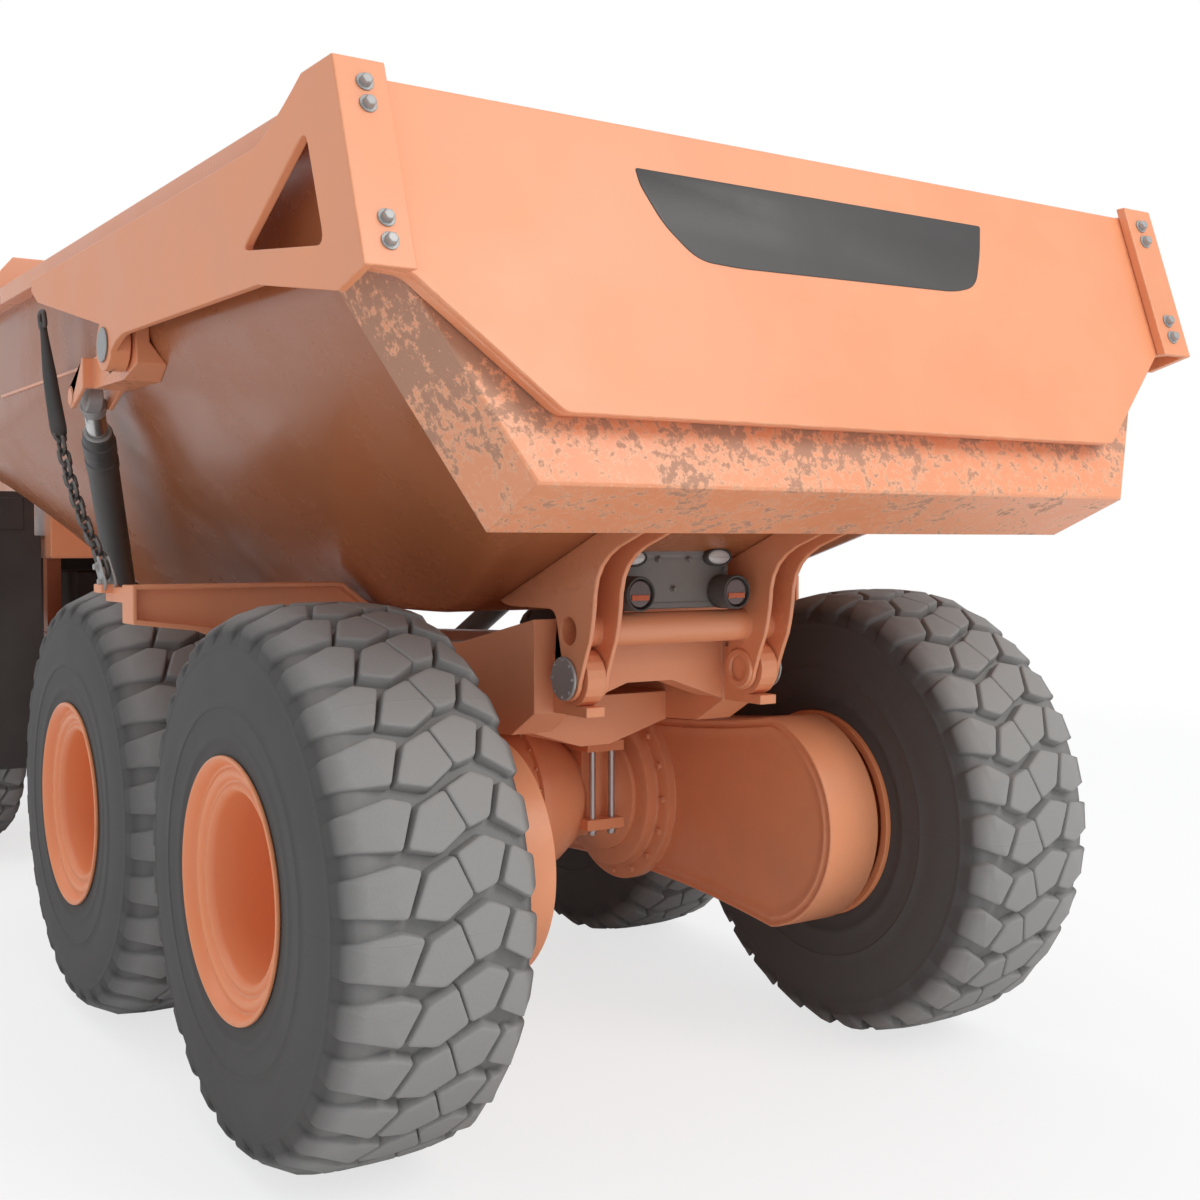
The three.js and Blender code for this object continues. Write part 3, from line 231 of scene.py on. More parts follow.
def paint_nodes(material, *names):
    """Gives CAD nodes a finish in place of the plain one they came with."""
    for name in names:
        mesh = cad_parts[name].data
        mesh.materials.clear()
        mesh.materials.append(material)


def skin(shape, mesh, name, angle, width, clamp):
    """Writes a worked shape to its mesh, shades it smooth, puts it in the scene and rounds its edges."""
    shape.to_mesh(mesh)
    shape.free()
    mesh.polygons.foreach_set("use_smooth", np.ones(len(mesh.polygons), bool))
    mesh.set_sharp_from_angle(angle=math.radians(angle))
    piece = bpy.data.objects.new(name, mesh)
    scene.collection.objects.link(piece)
    if width:
        round_over = piece.modifiers.new("round_over", "BEVEL")
        round_over.width, round_over.segments = width, 2
        round_over.limit_method, round_over.angle_limit = "ANGLE", math.radians(32)
        round_over.use_clamp_overlap, round_over.harden_normals = clamp, True
    return piece


def eased(node, material, body, width=0.004):
    """A copy of a CAD piece with its corners merged, its flat faces joined and its edges rounded."""
    shape = bmesh.new()
    shape.from_mesh(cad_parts[node].data)
    bmesh.ops.remove_doubles(shape, verts=shape.verts, dist=3e-5)
    bmesh.ops.dissolve_limit(shape, angle_limit=0.012, verts=shape.verts, edges=shape.edges)
    piece = skin(shape, bpy.data.meshes.new(f"{node}_skin"), f"{node}_skin", 32, width, False)
    piece.data.materials.append(material)
    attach(piece, body)
    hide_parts(node)
    return piece


paint_nodes(frame_paint, "front_frame", "rear_frame")
paint_nodes(axle_paint, "front_axle")
for side in ("left", "right"):
    eased(f"outrigger_{side}", frame_paint, "rear_chassis")

# ---------------------------------------------------------------- wheels
# Wide earthmover tyres on deep steel rims. Each tread row is two shoulder blocks and two centre blocks
# that zigzag across, moulded thirty times round. The rim is pressed and rolled, then painted.
tyre_radius, tread_half, wheel_x, axle_height = 0.808, 0.258, 1.108, 0.808
rear_axle, middle_axle, front_axle_y = 3.596, 1.893, -1.944
rows_round, groove_depth = 30, 0.043
row_length = 2 * math.pi * tyre_radius / rows_round


def grid_faces(rows, columns, wrap_rows=False, wrap_columns=False):
    """Quads between neighbouring points of a rows by columns grid, joined round where it wraps."""
    row = np.arange(rows if wrap_rows else rows - 1)[:, None]
    column = np.arange(columns if wrap_columns else columns - 1)[None, :]
    below, beside = (row + 1) % rows, (column + 1) % columns
    return np.stack([row * columns + column, row * columns + beside,
                     below * columns + beside, below * columns + column], -1).reshape(-1, 4)


def build(name, surfaces, material, body, stands_for=(), angle=32, ease=0.0):
    """Joins surfaces, each (points, faces), into one riding piece with merged corners and outward faces."""
    points, faces, count = [], [], 0
    for corner_points, corner_faces in surfaces:
        points.append(np.asarray(corner_points, float).reshape(-1, 3))
        listed = corner_faces.tolist() if isinstance(corner_faces, np.ndarray) else corner_faces
        faces += [[corner + count for corner in face] for face in listed]
        count += len(points[-1])
    mesh = bpy.data.meshes.new(name)
    mesh.from_pydata(np.concatenate(points).tolist(), [], faces)
    shape = bmesh.new()
    shape.from_mesh(mesh)
    bmesh.ops.remove_doubles(shape, verts=shape.verts, dist=2e-5)
    bmesh.ops.dissolve_degenerate(shape, edges=shape.edges, dist=1e-6)
    bmesh.ops.recalc_face_normals(shape, faces=shape.faces)
    piece = skin(shape, mesh, name, angle, ease, True)
    piece.data.materials.append(material)
    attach(piece, body)
    if stands_for:
        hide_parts(*stands_for)
    return piece


def turned(profile, place, axis, sides=48, start=0.0):
    """Points (radius, distance) swept round the line through place along axis."""
    profile = np.asarray(profile, float)
    forward = np.asarray(axis, float) / np.linalg.norm(axis)
    aside = np.cross(forward, (0, 0, 1) if abs(forward[2]) < 0.9 else (1, 0, 0))
    aside /= np.linalg.norm(aside)
    turn = (np.arange(sides) / sides * 2 * math.pi + start)[None, :, None]
    around = np.cos(turn) * aside + np.sin(turn) * np.cross(forward, aside)
    points = np.asarray(place) + profile[:, 0][:, None, None] * around \
        + profile[:, 1][:, None, None] * forward
    return points.reshape(-1, 3), grid_faces(len(profile), sides, wrap_columns=True)


def rod(radius, length, place, axis, sides=20, start=0.0):
    """A closed cylinder that begins at start from place and runs along axis."""
    return turned([(0, start), (radius, start), (radius, start + length), (0, start + length)], place, axis, sides)


def bolt(place, axis, across=0.03, washer=True):
    """A hexagon head with a chamfered top on a round washer, standing on place and pointing along axis."""
    corner, thick = across * 0.577, across * 0.16
    head = turned([(0, 0), (corner, 0), (corner, across * 0.5), (corner * 0.86, across * 0.62),
                   (0, across * 0.62)], np.asarray(place) + np.asarray(axis) * thick * washer, axis, 6)
    return [head, rod(corner * 1.45, thick, place, axis, 18)] if washer else [head]


def bolt_ring(centre, axis, radius, count, across, washer=False):
    """Bolts evenly round a centre, in the plane square to an axis that runs along X or Z."""
    heads = []
    for turn in np.arange(count) * 2 * math.pi / count:
        around = np.array((math.cos(turn), math.sin(turn), 0))
        heads += bolt(centre + radius * (np.roll(around, 1) if axis[0] else around), axis, across, washer)
    return heads


def along_x(flat, depth):
    """Puts y and z points at a depth along X."""
    return np.stack([np.full(len(flat), depth), flat[:, 0], flat[:, 1]], -1)


def along_y(flat, depth):
    """Puts x and z points at a depth along Y."""
    return np.stack([flat[:, 0], np.full(len(flat), depth), flat[:, 1]], -1)


# Corners of one row's blocks: the share of the tread's width from the outer side, and rows along.
row_blocks = [
    [(-0.035, 0.0), (0.22, 0.14), (0.335, 0.03), (0.25, -0.64), (-0.035, -0.55)],
    [(0.375, -0.03), (0.52, 0.18), (0.605, -0.42), (0.45, -0.74), (0.287, -0.63)],
    [(0.537, 0.21), (0.69, 0.44), (0.815, 0.28), (0.745, -0.28), (0.622, -0.41)],
    [(0.855, 0.24), (1.035, 0.03), (1.035, -0.50), (0.95, -0.60), (0.785, -0.30)],
]


def crown_radius(across):
    """The tread's radius at a share of its width: a shallow arch that drops away past the shoulders."""
    off = np.abs(2 * across - 1)
    return tyre_radius - 0.0255 * np.minimum(off, 1) ** 2.6 - np.clip(off - 0.90, 0, None) * 0.25


def tread_block(corners):
    """Rings from the groove's floor up a drafted wall to a rounded top, about a rounded outline."""
    corner = np.array(corners) * (2 * tread_half, row_length)
    before, after = np.roll(corner, 1, 0) - corner, np.roll(corner, -1, 0) - corner
    shorten = 0.010
    before *= shorten / np.linalg.norm(before, axis=1, keepdims=True)
    after *= shorten / np.linalg.norm(after, axis=1, keepdims=True)
    outline = np.stack([corner + before, corner + 0.27 * (before + after), corner + after], 1).reshape(-1, 2)
    inward = outline.mean(0) - outline
    inward /= np.linalg.norm(inward, axis=1, keepdims=True)
    rings = [outline + inward * inset for inset in (-0.010, -0.0035, -0.0015, 0.0012, 0.010)]
    rings.append(np.repeat(outline.mean(0)[None], len(outline), 0))
    flat = np.stack(rings)
    drop = np.array([groove_depth, 0.006, 0.0018, 0.0, 0.0, 0.0])[:, None]
    across, along = flat[..., 0] / (2 * tread_half), flat[..., 1]
    radius = np.minimum(crown_radius(across) - drop, tyre_radius)
    turn = along / tyre_radius
    return np.stack([tread_half * (1 - 2 * across), radius * np.cos(turn), radius * np.sin(turn)], -1)


def tyre_surfaces():
    """The tread blocks copied round in one array, and the carcass turned from its half profile."""
    surfaces = []
    turn = np.arange(rows_round) * 2 * math.pi / rows_round
    for corners in row_blocks:
        block = tread_block(corners)
        rings, around = block.shape[:2]
        y, z = block[..., 1], block[..., 2]
        copies = np.stack([np.broadcast_to(block[..., 0], (rows_round, rings, around)),
                           np.multiply.outer(np.cos(turn), y) - np.multiply.outer(np.sin(turn), z),
                           np.multiply.outer(np.sin(turn), y) + np.multiply.outer(np.cos(turn), z)], -1)
        faces = grid_faces(rings, around, wrap_columns=True)
        shifts = (np.arange(rows_round) * rings * around)[:, None, None]
        surfaces.append((copies.reshape(-1, 3), (faces[None] + shifts).reshape(-1, 4)))
    half = [(0.767, 0.12), (0.762, 0.20), (0.750, 0.240), (0.728, 0.266), (0.704, 0.2790), (0.6960, 0.2815),
            (0.6925, 0.2850), (0.6860, 0.2870), (0.6800, 0.2855), (0.670, 0.2868), (0.640, 0.2915),
            (0.600, 0.2955), (0.560, 0.2968), (0.5270, 0.2962), (0.5235, 0.2985), (0.5175, 0.2985),
            (0.5140, 0.2955), (0.480, 0.2940), (0.450, 0.2910), (0.4445, 0.2930), (0.4260, 0.2930),
            (0.4200, 0.2885), (0.395, 0.2880), (0.3726, 0.2870)]
    profile = [(r, -x) for r, x in half[::-1]] + [(0.768, 0)] + half + [(0.3726, -0.2870)]
    surfaces.append(turned(profile, (0, 0, 0), (1, 0, 0), 180))
    return surfaces


rim_profile = [
    (0, -0.012), (0.120, -0.012), (0.127, -0.016), (0.130, -0.024), (0.130, -0.040), (0.252, -0.040),
    (0.2600, -0.034), (0.2630, -0.020), (0.2660, 0.150), (0.2680, 0.236), (0.2730, 0.254), (0.2830, 0.262),
    (0.2930, 0.260), (0.3000, 0.254), (0.3080, 0.256), (0.3130, 0.264), (0.3190, 0.270), (0.3330, 0.272),
    (0.3440, 0.266), (0.3510, 0.268), (0.3570, 0.282), (0.3640, 0.296), (0.3720, 0.302), (0.3790, 0.3000),
    (0.3800, 0.2920), (0.3722, 0.2890), (0.3718, 0.25), (0.3718, -0.296), (0.3690, -0.3035),
    (0.3420, -0.3035), (0.3350, -0.296), (0.3350, -0.110), (0.3200, -0.0900), (0, -0.0900)]


def place_wheel(surfaces, sign, y):
    """Moves a wheel from its own centre to its axle, turned half round on the right."""
    return [(np.asarray(points) * (sign, sign, 1) + (sign * wheel_x, y, axle_height), faces)
            for points, faces in surfaces]


def tyre_rubber():
    """Dusty rubber: paler on worn tops and darker down into the grooves, which is painted shade, with faint mould
    lines on the walls.
    """
    def mould_lines_and_groove_shade(tree, place, colour, rough, height):
        """Eight thin lines up each wall, from the angle round the axle, as a height, and the rubber's tone by
        distance from the axle, with painted shade in the grooves.
        """
        apart = wire(tree, "SeparateXYZ", Vector=wire(tree, "UVMap").outputs["UV"])
        turns = maths(tree, "PINGPONG", apart.outputs["X"], 0.0625)
        lifted = maths(tree, "ADD", height, ramp(tree, turns, 0.0007, 0.0002, 0.0, 1.2))
        # Tone by distance from the axle: dark walls and pale dusty tread tops, with painted shade darkening the tread
        # down into its grooves.
        outward = ramp(tree, apart.outputs["Y"], 0.90, 0.962)
        dust_and_groove_shade = blend(tree, outward, (0.075, 0.071, 0.068, 1), (0.33, 0.323, 0.312, 1))
        return blend(tree, 0.78, colour, dust_and_groove_shade), rough, lifted
    return worn_finish("tyre_rubber", (0.088, 0.086, 0.084, 1), 0.72, dust=0.55,
                       dust_colour=(0.15, 0.135, 0.122, 1), rub=0.5, rub_colour=(0.15, 0.145, 0.14, 1),
                       grain=260, bump=0.22, added_marks=mould_lines_and_groove_shade)


tyre_finish = tyre_rubber()
rim_paint = worn_finish("rim_paint", (0.90, 0.31, 0.13, 1), 0.3, dust=0.22, dust_colour=(0.45, 0.24, 0.15, 1),
                        bump=0.03)
tyre_parts, rim_parts = tyre_surfaces(), [turned(rim_profile, (0, 0, 0), (1, 0, 0), 96)]
rim_parts += bolt_ring((-0.040, 0, 0), (1, 0, 0), 0.20, 12, 0.030, washer=True)
for side, sign in both_sides:
    for row, y in (("front", front_axle_y), ("middle", middle_axle), ("rear", rear_axle)):
        tyre = build(f"tyre_{row}_{side}_tread", place_wheel(tyre_parts, sign, y), tyre_finish,
                     f"wheel_{row}_{side}", [f"tyre_{row}_{side}"], angle=38)
        own = np.empty(len(tyre.data.vertices) * 3)
        tyre.data.vertices.foreach_get("co", own)
        own = own.reshape(-1, 3) - (sign * wheel_x, y, axle_height)
        turn_share = np.arctan2(own[:, 2], own[:, 1]) / (2 * math.pi) + 0.5
        reach = np.hypot(own[:, 1], own[:, 2]) / tyre_radius
        loops = np.empty(len(tyre.data.loops), int)
        tyre.data.loops.foreach_get("vertex_index", loops)
        tyre.data.uv_layers.new(name="round_and_out").data.foreach_set(
            "uv", np.stack([turn_share, reach], -1)[loops].ravel())
        build(f"rim_{row}_{side}_pressed", place_wheel(rim_parts, sign, y), rim_paint,
              f"wheel_{row}_{side}", [f"rim_{row}_{side}"], angle=40)

# ---------------------------------------------------------------- bogie cases
# A cast case on each side carries two wheels and rocks on the axle's end. Its inner face is set back
# inside a rolled lip, and two stepped rings stand round the pivot.
bogie_y, case_half, case_radius, case_waist = 2.7445, 0.8515, 0.377, 0.315
case_lean = math.pi / 2 - 0.18


def case_outline():
    """Points round the case: an arc at each end, and a shallow curve in to the waist above and below."""
    arc = np.linspace(-case_lean, case_lean, 40)
    end = np.stack([case_half + case_radius * np.cos(arc), case_radius * np.sin(arc)], -1)
    share = np.linspace(0, 1, 26)[1:-1, None]
    start, waist = end[-1], np.array((0, 2 * case_waist - case_radius - 0.02))
    top = (1 - share) ** 2 * start + 2 * share * (1 - share) * waist + share ** 2 * (start * (-1, 1))
    return np.concatenate([end, top, -end, -top])


def carried(outline, steps, to_space):
    """An outline stepped through (outset, depth) pairs along its own normals, closed at both ends."""
    tangent = np.roll(outline, -1, 0) - np.roll(outline, 1, 0)
    normal = np.stack([tangent[:, 1], -tangent[:, 0]], -1) / np.linalg.norm(tangent, axis=1, keepdims=True)
    rings = np.stack([to_space(outline + normal * outset, depth) for outset, depth in steps])
    count = len(outline)
    faces = grid_faces(len(steps), count, wrap_columns=True).tolist()
    return rings.reshape(-1, 3), faces + [list(range(count)), list(range(len(steps) * count - count,
                                                                        len(steps) * count))]


case_steps = [(-0.075, 0.5440), (-0.050, 0.5445), (-0.043, 0.5400), (-0.033, 0.5395), (-0.028, 0.5450),
              (-0.018, 0.5460), (-0.012, 0.5410), (-0.004, 0.5405), (0, 0.5450), (0, 0.7540),
              (-0.004, 0.7600), (-0.030, 0.7615), (-0.032, 0.7670), (-0.060, 0.7670)]
boss_profile = [(0, 0.4500), (0.292, 0.4500), (0.300, 0.4560), (0.300, 0.4960), (0.306, 0.5030),
                (0.350, 0.5060), (0.360, 0.5120), (0.360, 0.5480), (0, 0.5480)]
hub_profile = [(0, 0.760), (0.250, 0.760), (0.250, 0.800), (0.235, 0.815), (0.235, 1.0170), (0, 1.0170)]
for side, sign in both_sides:
    case = [carried(case_outline(), case_steps,
                    lambda flat, depth: along_x(flat + (bogie_y, axle_height), sign * depth)),
            turned(boss_profile, (0, bogie_y, axle_height), (sign, 0, 0), 80)]
    case += [turned(hub_profile, (0, y, axle_height), (sign, 0, 0), 64) for y in (middle_axle, rear_axle)]
    case += bolt_ring((sign * 0.5060, bogie_y, axle_height), (-sign, 0, 0), 0.33, 16, 0.022)
    build(f"bogie_case_{side}", case, axle_paint, f"bogie_{side}",
          [f"tandem_case_{side}"], angle=40)

# ---------------------------------------------------------------- centre axle
# The driven axle's cast housing swells round the differential. Flat clamps above and below hold it to
# the frame, drawn together by bright steel studs.
bare_steel = worn_finish("bare_steel", (0.52, 0.52, 0.51, 1), 0.34, metallic=0.85, dust=0.3,
                         dust_colour=(0.3, 0.28, 0.26, 1), rub=0.3, rub_colour=(0.8, 0.8, 0.8, 1), bump=0.05)


block_faces = [(0, 1, 3, 2), (4, 6, 7, 5), (0, 4, 5, 1), (2, 3, 7, 6), (0, 2, 6, 4), (1, 5, 7, 3)]


def slab(x0, x1, y0, y1, z0, z1):
    """A plain block between two corners."""
    points = [(x, y, z) for x in (x0, x1) for y in (y0, y1) for z in (z0, z1)]
    return points, block_faces


def sided(sign, near, far, *rest):
    """A plain block between two distances from the middle line, on one side of the truck."""
    return slab(*sorted((sign * near, sign * far)), *rest)


axle_half = [(0.300, 0.0), (0.298, 0.045), (0.289, 0.09), (0.262, 0.15), (0.222, 0.21), (0.188, 0.255),
             (0.172, 0.285), (0.170, 0.30), (0.170, 0.360), (0.176, 0.378), (0.205, 0.410), (0.226, 0.425),
             (0.235, 0.4300), (0.235, 0.4497), (0, 0.4497)]
axle_profile = [(r, -x) for r, x in axle_half[::-1]] + axle_half[1:]
axle_parts = [turned(axle_profile, (0, bogie_y, axle_height), (1, 0, 0), 72),
              turned([(0, 0), (0.30, 0), (0.315, 0.006), (0.315, 0.034), (0.30, 0.040), (0, 0.040)],
                     (-0.02, bogie_y, axle_height), (1, 0, 0), 72),
              turned([(0, 0), (0.10, 0), (0.10, 0.10), (0.13, 0.13), (0.13, 0.16), (0.16, 0.30), (0, 0.30)],
                     (0, bogie_y - 0.4797, 0.930), (0, 1, 0), 40)]
axle_parts += bolt_ring((0.020, bogie_y, axle_height), (1, 0, 0), 0.307, 24, 0.012)
studs = []
for sign in (1, -1):
    axle_parts += [sided(sign, 0.205, 0.370, bogie_y - 0.150, bogie_y + 0.262, 1.002, 1.040),
                   sided(sign, 0.205, 0.370, bogie_y - 0.150, bogie_y + 0.262, 0.705, 0.745),
                   sided(sign, 0.225, 0.350, bogie_y - 0.150, bogie_y + 0.190, 0.742, 1.005)]
    for x in (0.243, 0.330):
        place = (sign * x, bogie_y + 0.235, 0.690)
        studs.append(turned([(0, 0), (0.010, 0), (0.013, 0.004), (0.013, 0.346), (0, 0.346)], place,
                            (0, 0, 1), 20))
        studs += bolt((place[0], place[1], 0.7045), (0, 0, -1), 0.028)
build("centre_axle_housing", axle_parts, axle_paint, "rear_chassis", ["centre_axle"],
      angle=40)
build("axle_studs", studs, bare_steel, "rear_chassis")
shaft_low, shaft_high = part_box("drive_shaft")
shaft_length = shaft_high.y - shaft_low.y
shaft_profile = [(0, 0), (0.095, 0), (0.095, 0.022), (0.060, 0.030), (0.052, 0.080), (0.052, 0.40),
                 (0.060, 0.42), (0.060, 0.62), (0.046, 0.64), (0.046, shaft_length - 0.08),
                 (0.060, shaft_length - 0.030), (0.095, shaft_length - 0.022), (0.095, shaft_length),
                 (0, shaft_length)]
build("splined_shaft", [turned(shaft_profile, (0, shaft_low.y, 0.930), (0, 1, 0), 40)], bare_steel,
      "rear_chassis", ["drive_shaft"])

# ---------------------------------------------------------------- dump bed
# A tub of bent and welded wear plate: a flat floor that rises to the tail and to the headboard, long
# curved sides, a deep box collar round the open tail, top rails and a ribbed headboard. Satin orange
# paint covers it, and the collar's slanted plates have worn down to rust. The tub's own skin is coloured
# a dark brown instead, as painted shade on the belly, which faces away from the light.
bed_low, bed_wall, tail_slope, tail_plane = -0.304, 0.020, 1 / 3, 5.356
station_y = np.array([-3.900, -2.950, -1.700, -0.330, 1.300]) + rear_axle
station_floor = np.array([2.126, 1.552, 1.552, 1.552, 2.172])
station_bottom = np.array([1.150, 0.720, 0.520, 0.520, 1.010])
station_knee = np.array([2.190, 2.299, 2.440, 2.445, 2.410])
station_top = np.array([3.000, 2.870, 2.870, 2.870, 2.870])


def worn_away(colours, cover, scale, low=(0, 0), high=(1, 1)):
    """A rust callback: brown patches where a stretched noise passes the cover, with pale rims of thin paint."""
    def callback(tree, place, colour, rough, height):
        """Mixes rust over the paint by two noises and a height ramp."""
        warp, fine = (wire(tree, "TexNoise", Vector=place, Scale=scale * times, Detail=detail,
                           Roughness=roughness).outputs["Fac"]
                      for times, detail, roughness in ((1, 12.0, 0.75), (6, 6.0, 0.7)))
        level = wire(tree, "SeparateXYZ", Vector=place).outputs["Z"]
        both = maths(tree, "MULTIPLY_ADD", fine, 0.9, warp)
        lifted = maths(tree, "ADD", both, ramp(tree, level, low[0], high[0], low[1], high[1]))
        share = ramp(tree, lifted, cover, cover + 0.10, 0.0, 0.72)
        thin = blend(tree, ramp(tree, lifted, cover - 0.035, cover, 0.0, 0.55), colour, (0.93, 0.50, 0.30, 1))
        mixed = blend(tree, share, thin, blend(tree, fine, *colours))
        matt, sunk = (maths(tree, "MULTIPLY_ADD", share, *rest) for rest in ((0.4, rough), (-0.8, height)))
        return mixed, matt, sunk
    return callback


rust_browns = [(0.24, 0.135, 0.095, 1), (0.38, 0.215, 0.15, 1)]
bed_paint = worn_finish("bed_paint", orange, 0.27, dust=0.16, dust_colour=(0.45, 0.23, 0.14, 1), bump=0.02,
                        coat=0.25)
# Painted shade: the tub's orange darkened to a brown, for the belly that faces down and away from the light.
tub_painted_shade = worn_finish("tub_painted_shade", (0.40, 0.13, 0.05, 1), 0.20, dust=0.15, dust_colour=(0.30, 0.165, 0.11, 1),
                        bump=0.02, rub=0)
collar_paint = worn_finish("collar_paint", orange, 0.34, dust=0.25, dust_colour=(0.45, 0.25, 0.16, 1),
                           bump=0.06, added_marks=worn_away(rust_browns, 0.955, 6.5, (1.93, -0.02), (2.2, 0.12)))


def bed_section(y, around, inset):
    """The tub's half section: x and z at a share round it, for y, from flat floor to curve to upright side."""
    smooth = np.linspace(-0.13, 0.13, 9)
    at = [np.mean([np.interp(y + d, station_y, values) for d in smooth], 0)
          for values in (station_floor, station_bottom, station_knee, station_top)]
    floor_z, bottom, knee, top = at
    low_x, low_z = bottom - inset * 0.5, floor_z + inset
    high_x, high_z = 1.350 - inset, knee + inset * 0.4
    on_floor = np.clip(around / 0.25, 0, 1)
    on_curve = np.clip((around - 0.25) / 0.5, 0, 1)
    on_side = np.clip((around - 0.75) / 0.25, 0, 1)
    bulge = np.sin(math.pi * on_curve) * 0.035
    x = low_x * on_floor + (high_x - low_x) * on_curve + (high_z - low_z) * bulge
    z = low_z + (high_z - low_z) * on_curve - (high_x - low_x) * bulge + (top - high_z) * on_side
    return x, z


def bed_skin(inset, front):
    """Rows from the headboard to the slanted tail plane, each a full section, as a grid of points."""
    share = np.linspace(0, 1, 90)[:, None]
    corner = np.array([0.25, 0.75])
    around = np.linspace(0, 1, 81)[None, :]
    y = np.broadcast_to(front + share * (4.6 - front), (90, 81))
    for _ in range(6):
        x, z = bed_section(y, around, inset)
        y = front + share * (tail_plane - 0.003 - tail_slope * z - front)
    kernel = np.array([1, 2, 3, 2, 1]) / 9
    near = np.exp(-((around[0, :, None] - corner) / 0.05) ** 2).max(1)[None, :]
    blurred = [sum(k * np.roll(a, o, 1) for k, o in zip(kernel, range(-2, 3))) for a in (x, z)]
    x, z = (a + (b - a) * near for a, b in zip((x, z), blurred))
    half = np.stack([x, y, z], -1)
    return np.concatenate([(half * (-1, 1, 1))[:, :0:-1], half], 1)


outer, inner = bed_skin(0, bed_low), bed_skin(bed_wall, bed_low + bed_wall)
rows, columns = outer.shape[:2]
tub = np.concatenate([outer, inner[::-1]])
tub_faces = grid_faces(2 * rows, columns, wrap_rows=True).tolist()
caps = [[r * columns + e, (2 * rows - 1 - r) * columns + e, (2 * rows - 2 - r) * columns + e,
         (r + 1) * columns + e] for r in range(rows - 1) for e in (0, columns - 1)]
build("bed_tub", [(tub, tub_faces + caps)], tub_painted_shade, "bed", ["dump_bed"], angle=40)


def on_tail(flat, ahead):
    """Puts x and z points on a plane parallel to the tail's, this far ahead of it."""
    return np.stack([flat[:, 0], tail_plane - ahead - tail_slope * flat[:, 1], flat[:, 1]], -1)


def along_outline(corners, count, bulge):
    """A polyline's points spread evenly on each leg, its slanted leg bowed outwards, mirrored to the other side."""
    corners = np.array(corners)
    steps = np.linspace(0, 1, count, endpoint=False)[:, None]
    legs = [a + (b - a) * steps for a, b in zip(corners[:-1], corners[1:])]
    slant = corners[2] - corners[1]
    legs[1] += np.sin(math.pi * steps) * bulge * np.array((slant[1], -slant[0])) / np.linalg.norm(slant)
    half = np.concatenate(legs + [corners[-1:]])
    return np.concatenate([(half * (-1, 1))[:0:-1], half])


collar_rows = [(0.290, [(0, 1.990), (0.860, 1.990), (1.332, 2.440), (1.332, 2.868)]),
               (0.296, [(0, 1.820), (1.046, 1.820), (1.349, 2.406), (1.349, 2.870)]),
               (0.290, [(0, 1.814), (1.052, 1.814), (1.353, 2.403), (1.353, 2.870)]),
               (0.006, [(0, 1.922), (1.058, 1.922), (1.353, 2.450), (1.353, 2.870)]),
               (0.000, [(0, 1.930), (1.053, 1.930), (1.348, 2.453), (1.348, 2.870)]),
               (0.000, [(0, 2.102), (0.921, 2.102), (1.331, 2.430), (1.331, 2.868)])]
collar_bulge = [0.030, 0, 0, 0, 0, 0.030]
collar_rings = np.concatenate([on_tail(along_outline(outline, 12, bulge), ahead)
                               for (ahead, outline), bulge in zip(collar_rows, collar_bulge)])
ring_points = len(collar_rings) // len(collar_rows)
ends = [[row * ring_points + e for row in range(len(collar_rows))] for e in (0, ring_points - 1)]
build("bed_collar", [(collar_rings, grid_faces(len(collar_rows), ring_points, wrap_rows=True).tolist() + ends)],
      collar_paint, "bed", angle=25)

board_outline = np.array([(-1.134, 2.104), (1.134, 2.104), (1.349, 2.194), (1.349, 2.990), (1.200, 3.089),
                          (1.086, 3.225), (-1.086, 3.225), (-1.200, 3.089), (-1.349, 2.990), (-1.349, 2.194)])
bed_extras = [carried(board_outline, [(-0.003, bed_low), (0, bed_low + 0.003), (0, bed_low + 0.017),
                                      (-0.003, bed_low + 0.020)], along_y)]
bed_extras += [slab(x - 0.045, x + 0.045, bed_low - 0.045, bed_low + 0.001, 2.25, 3.165) for x in (-0.56, 0, 0.56)]
for sign in (1, -1):
    bed_extras += [sided(sign, 1.347, 1.412, 0.296, 4.236, 2.800, 2.870),
                   sided(sign, 1.331, 1.356, 0.65, 2.60, 2.430, 2.442)]
build("bed_rails", bed_extras, bed_paint, "bed", ease=0.006)

# ---------------------------------------------------------------- bed hinge and lamp panel
# Four thick plates hang the bed from two greased pins, with a tube across them. The pins' end caps are
# pressed steel held by small screws. The lamps sit in a rounded plastic panel between the plates.
cap_grey = worn_finish("cap_grey", (0.42, 0.415, 0.405, 1), 0.42, metallic=0.4, dust=0.35,
                       dust_colour=(0.22, 0.2, 0.18, 1), rub=0.6, rub_colour=(0.5, 0.5, 0.49, 1), bump=0.05)
dark_plastic = worn_finish("dark_plastic", (0.060, 0.057, 0.054, 1), 0.5, dust=0.4,
                           dust_colour=(0.13, 0.115, 0.1, 1), rub=0.3, rub_colour=(0.16, 0.15, 0.15, 1), bump=0.08)
panel_grey = worn_finish("panel_grey", (0.20, 0.19, 0.18, 1), 0.45, dust=0.35,
                         dust_colour=(0.2, 0.16, 0.13, 1), rub=0.4, rub_colour=(0.3, 0.28, 0.26, 1), bump=0.06)
eased("bed_hinge_frame", bed_paint, "bed")
hinge_y, hinge_z, panel_y = 3.801, 1.372, 3.803
hinge_caps, hinge_bosses = [], []
for sign in (1, -1):
    place, axis = (sign * 0.4042, hinge_y, hinge_z), (sign, 0, 0)
    hinge_caps.append(turned([(0, 0), (0.068, 0), (0.068, 0.006), (0.065, 0.009), (0, 0.009)], place, axis, 48))
    hinge_caps += bolt_ring((sign * 0.4132, hinge_y, hinge_z), axis, 0.057, 8, 0.009)
    hinge_bosses.append(turned([(0.040, 0.002), (0.044, 0.010), (0.062, 0.010), (0.066, 0.006), (0.066, 0)],
                               (sign * 0.2868, hinge_y, hinge_z), (-sign, 0, 0), 48))
build("hinge_pin_caps", hinge_caps, cap_grey, "bed")
build("hinge_bosses", hinge_bosses, bed_paint, "bed")


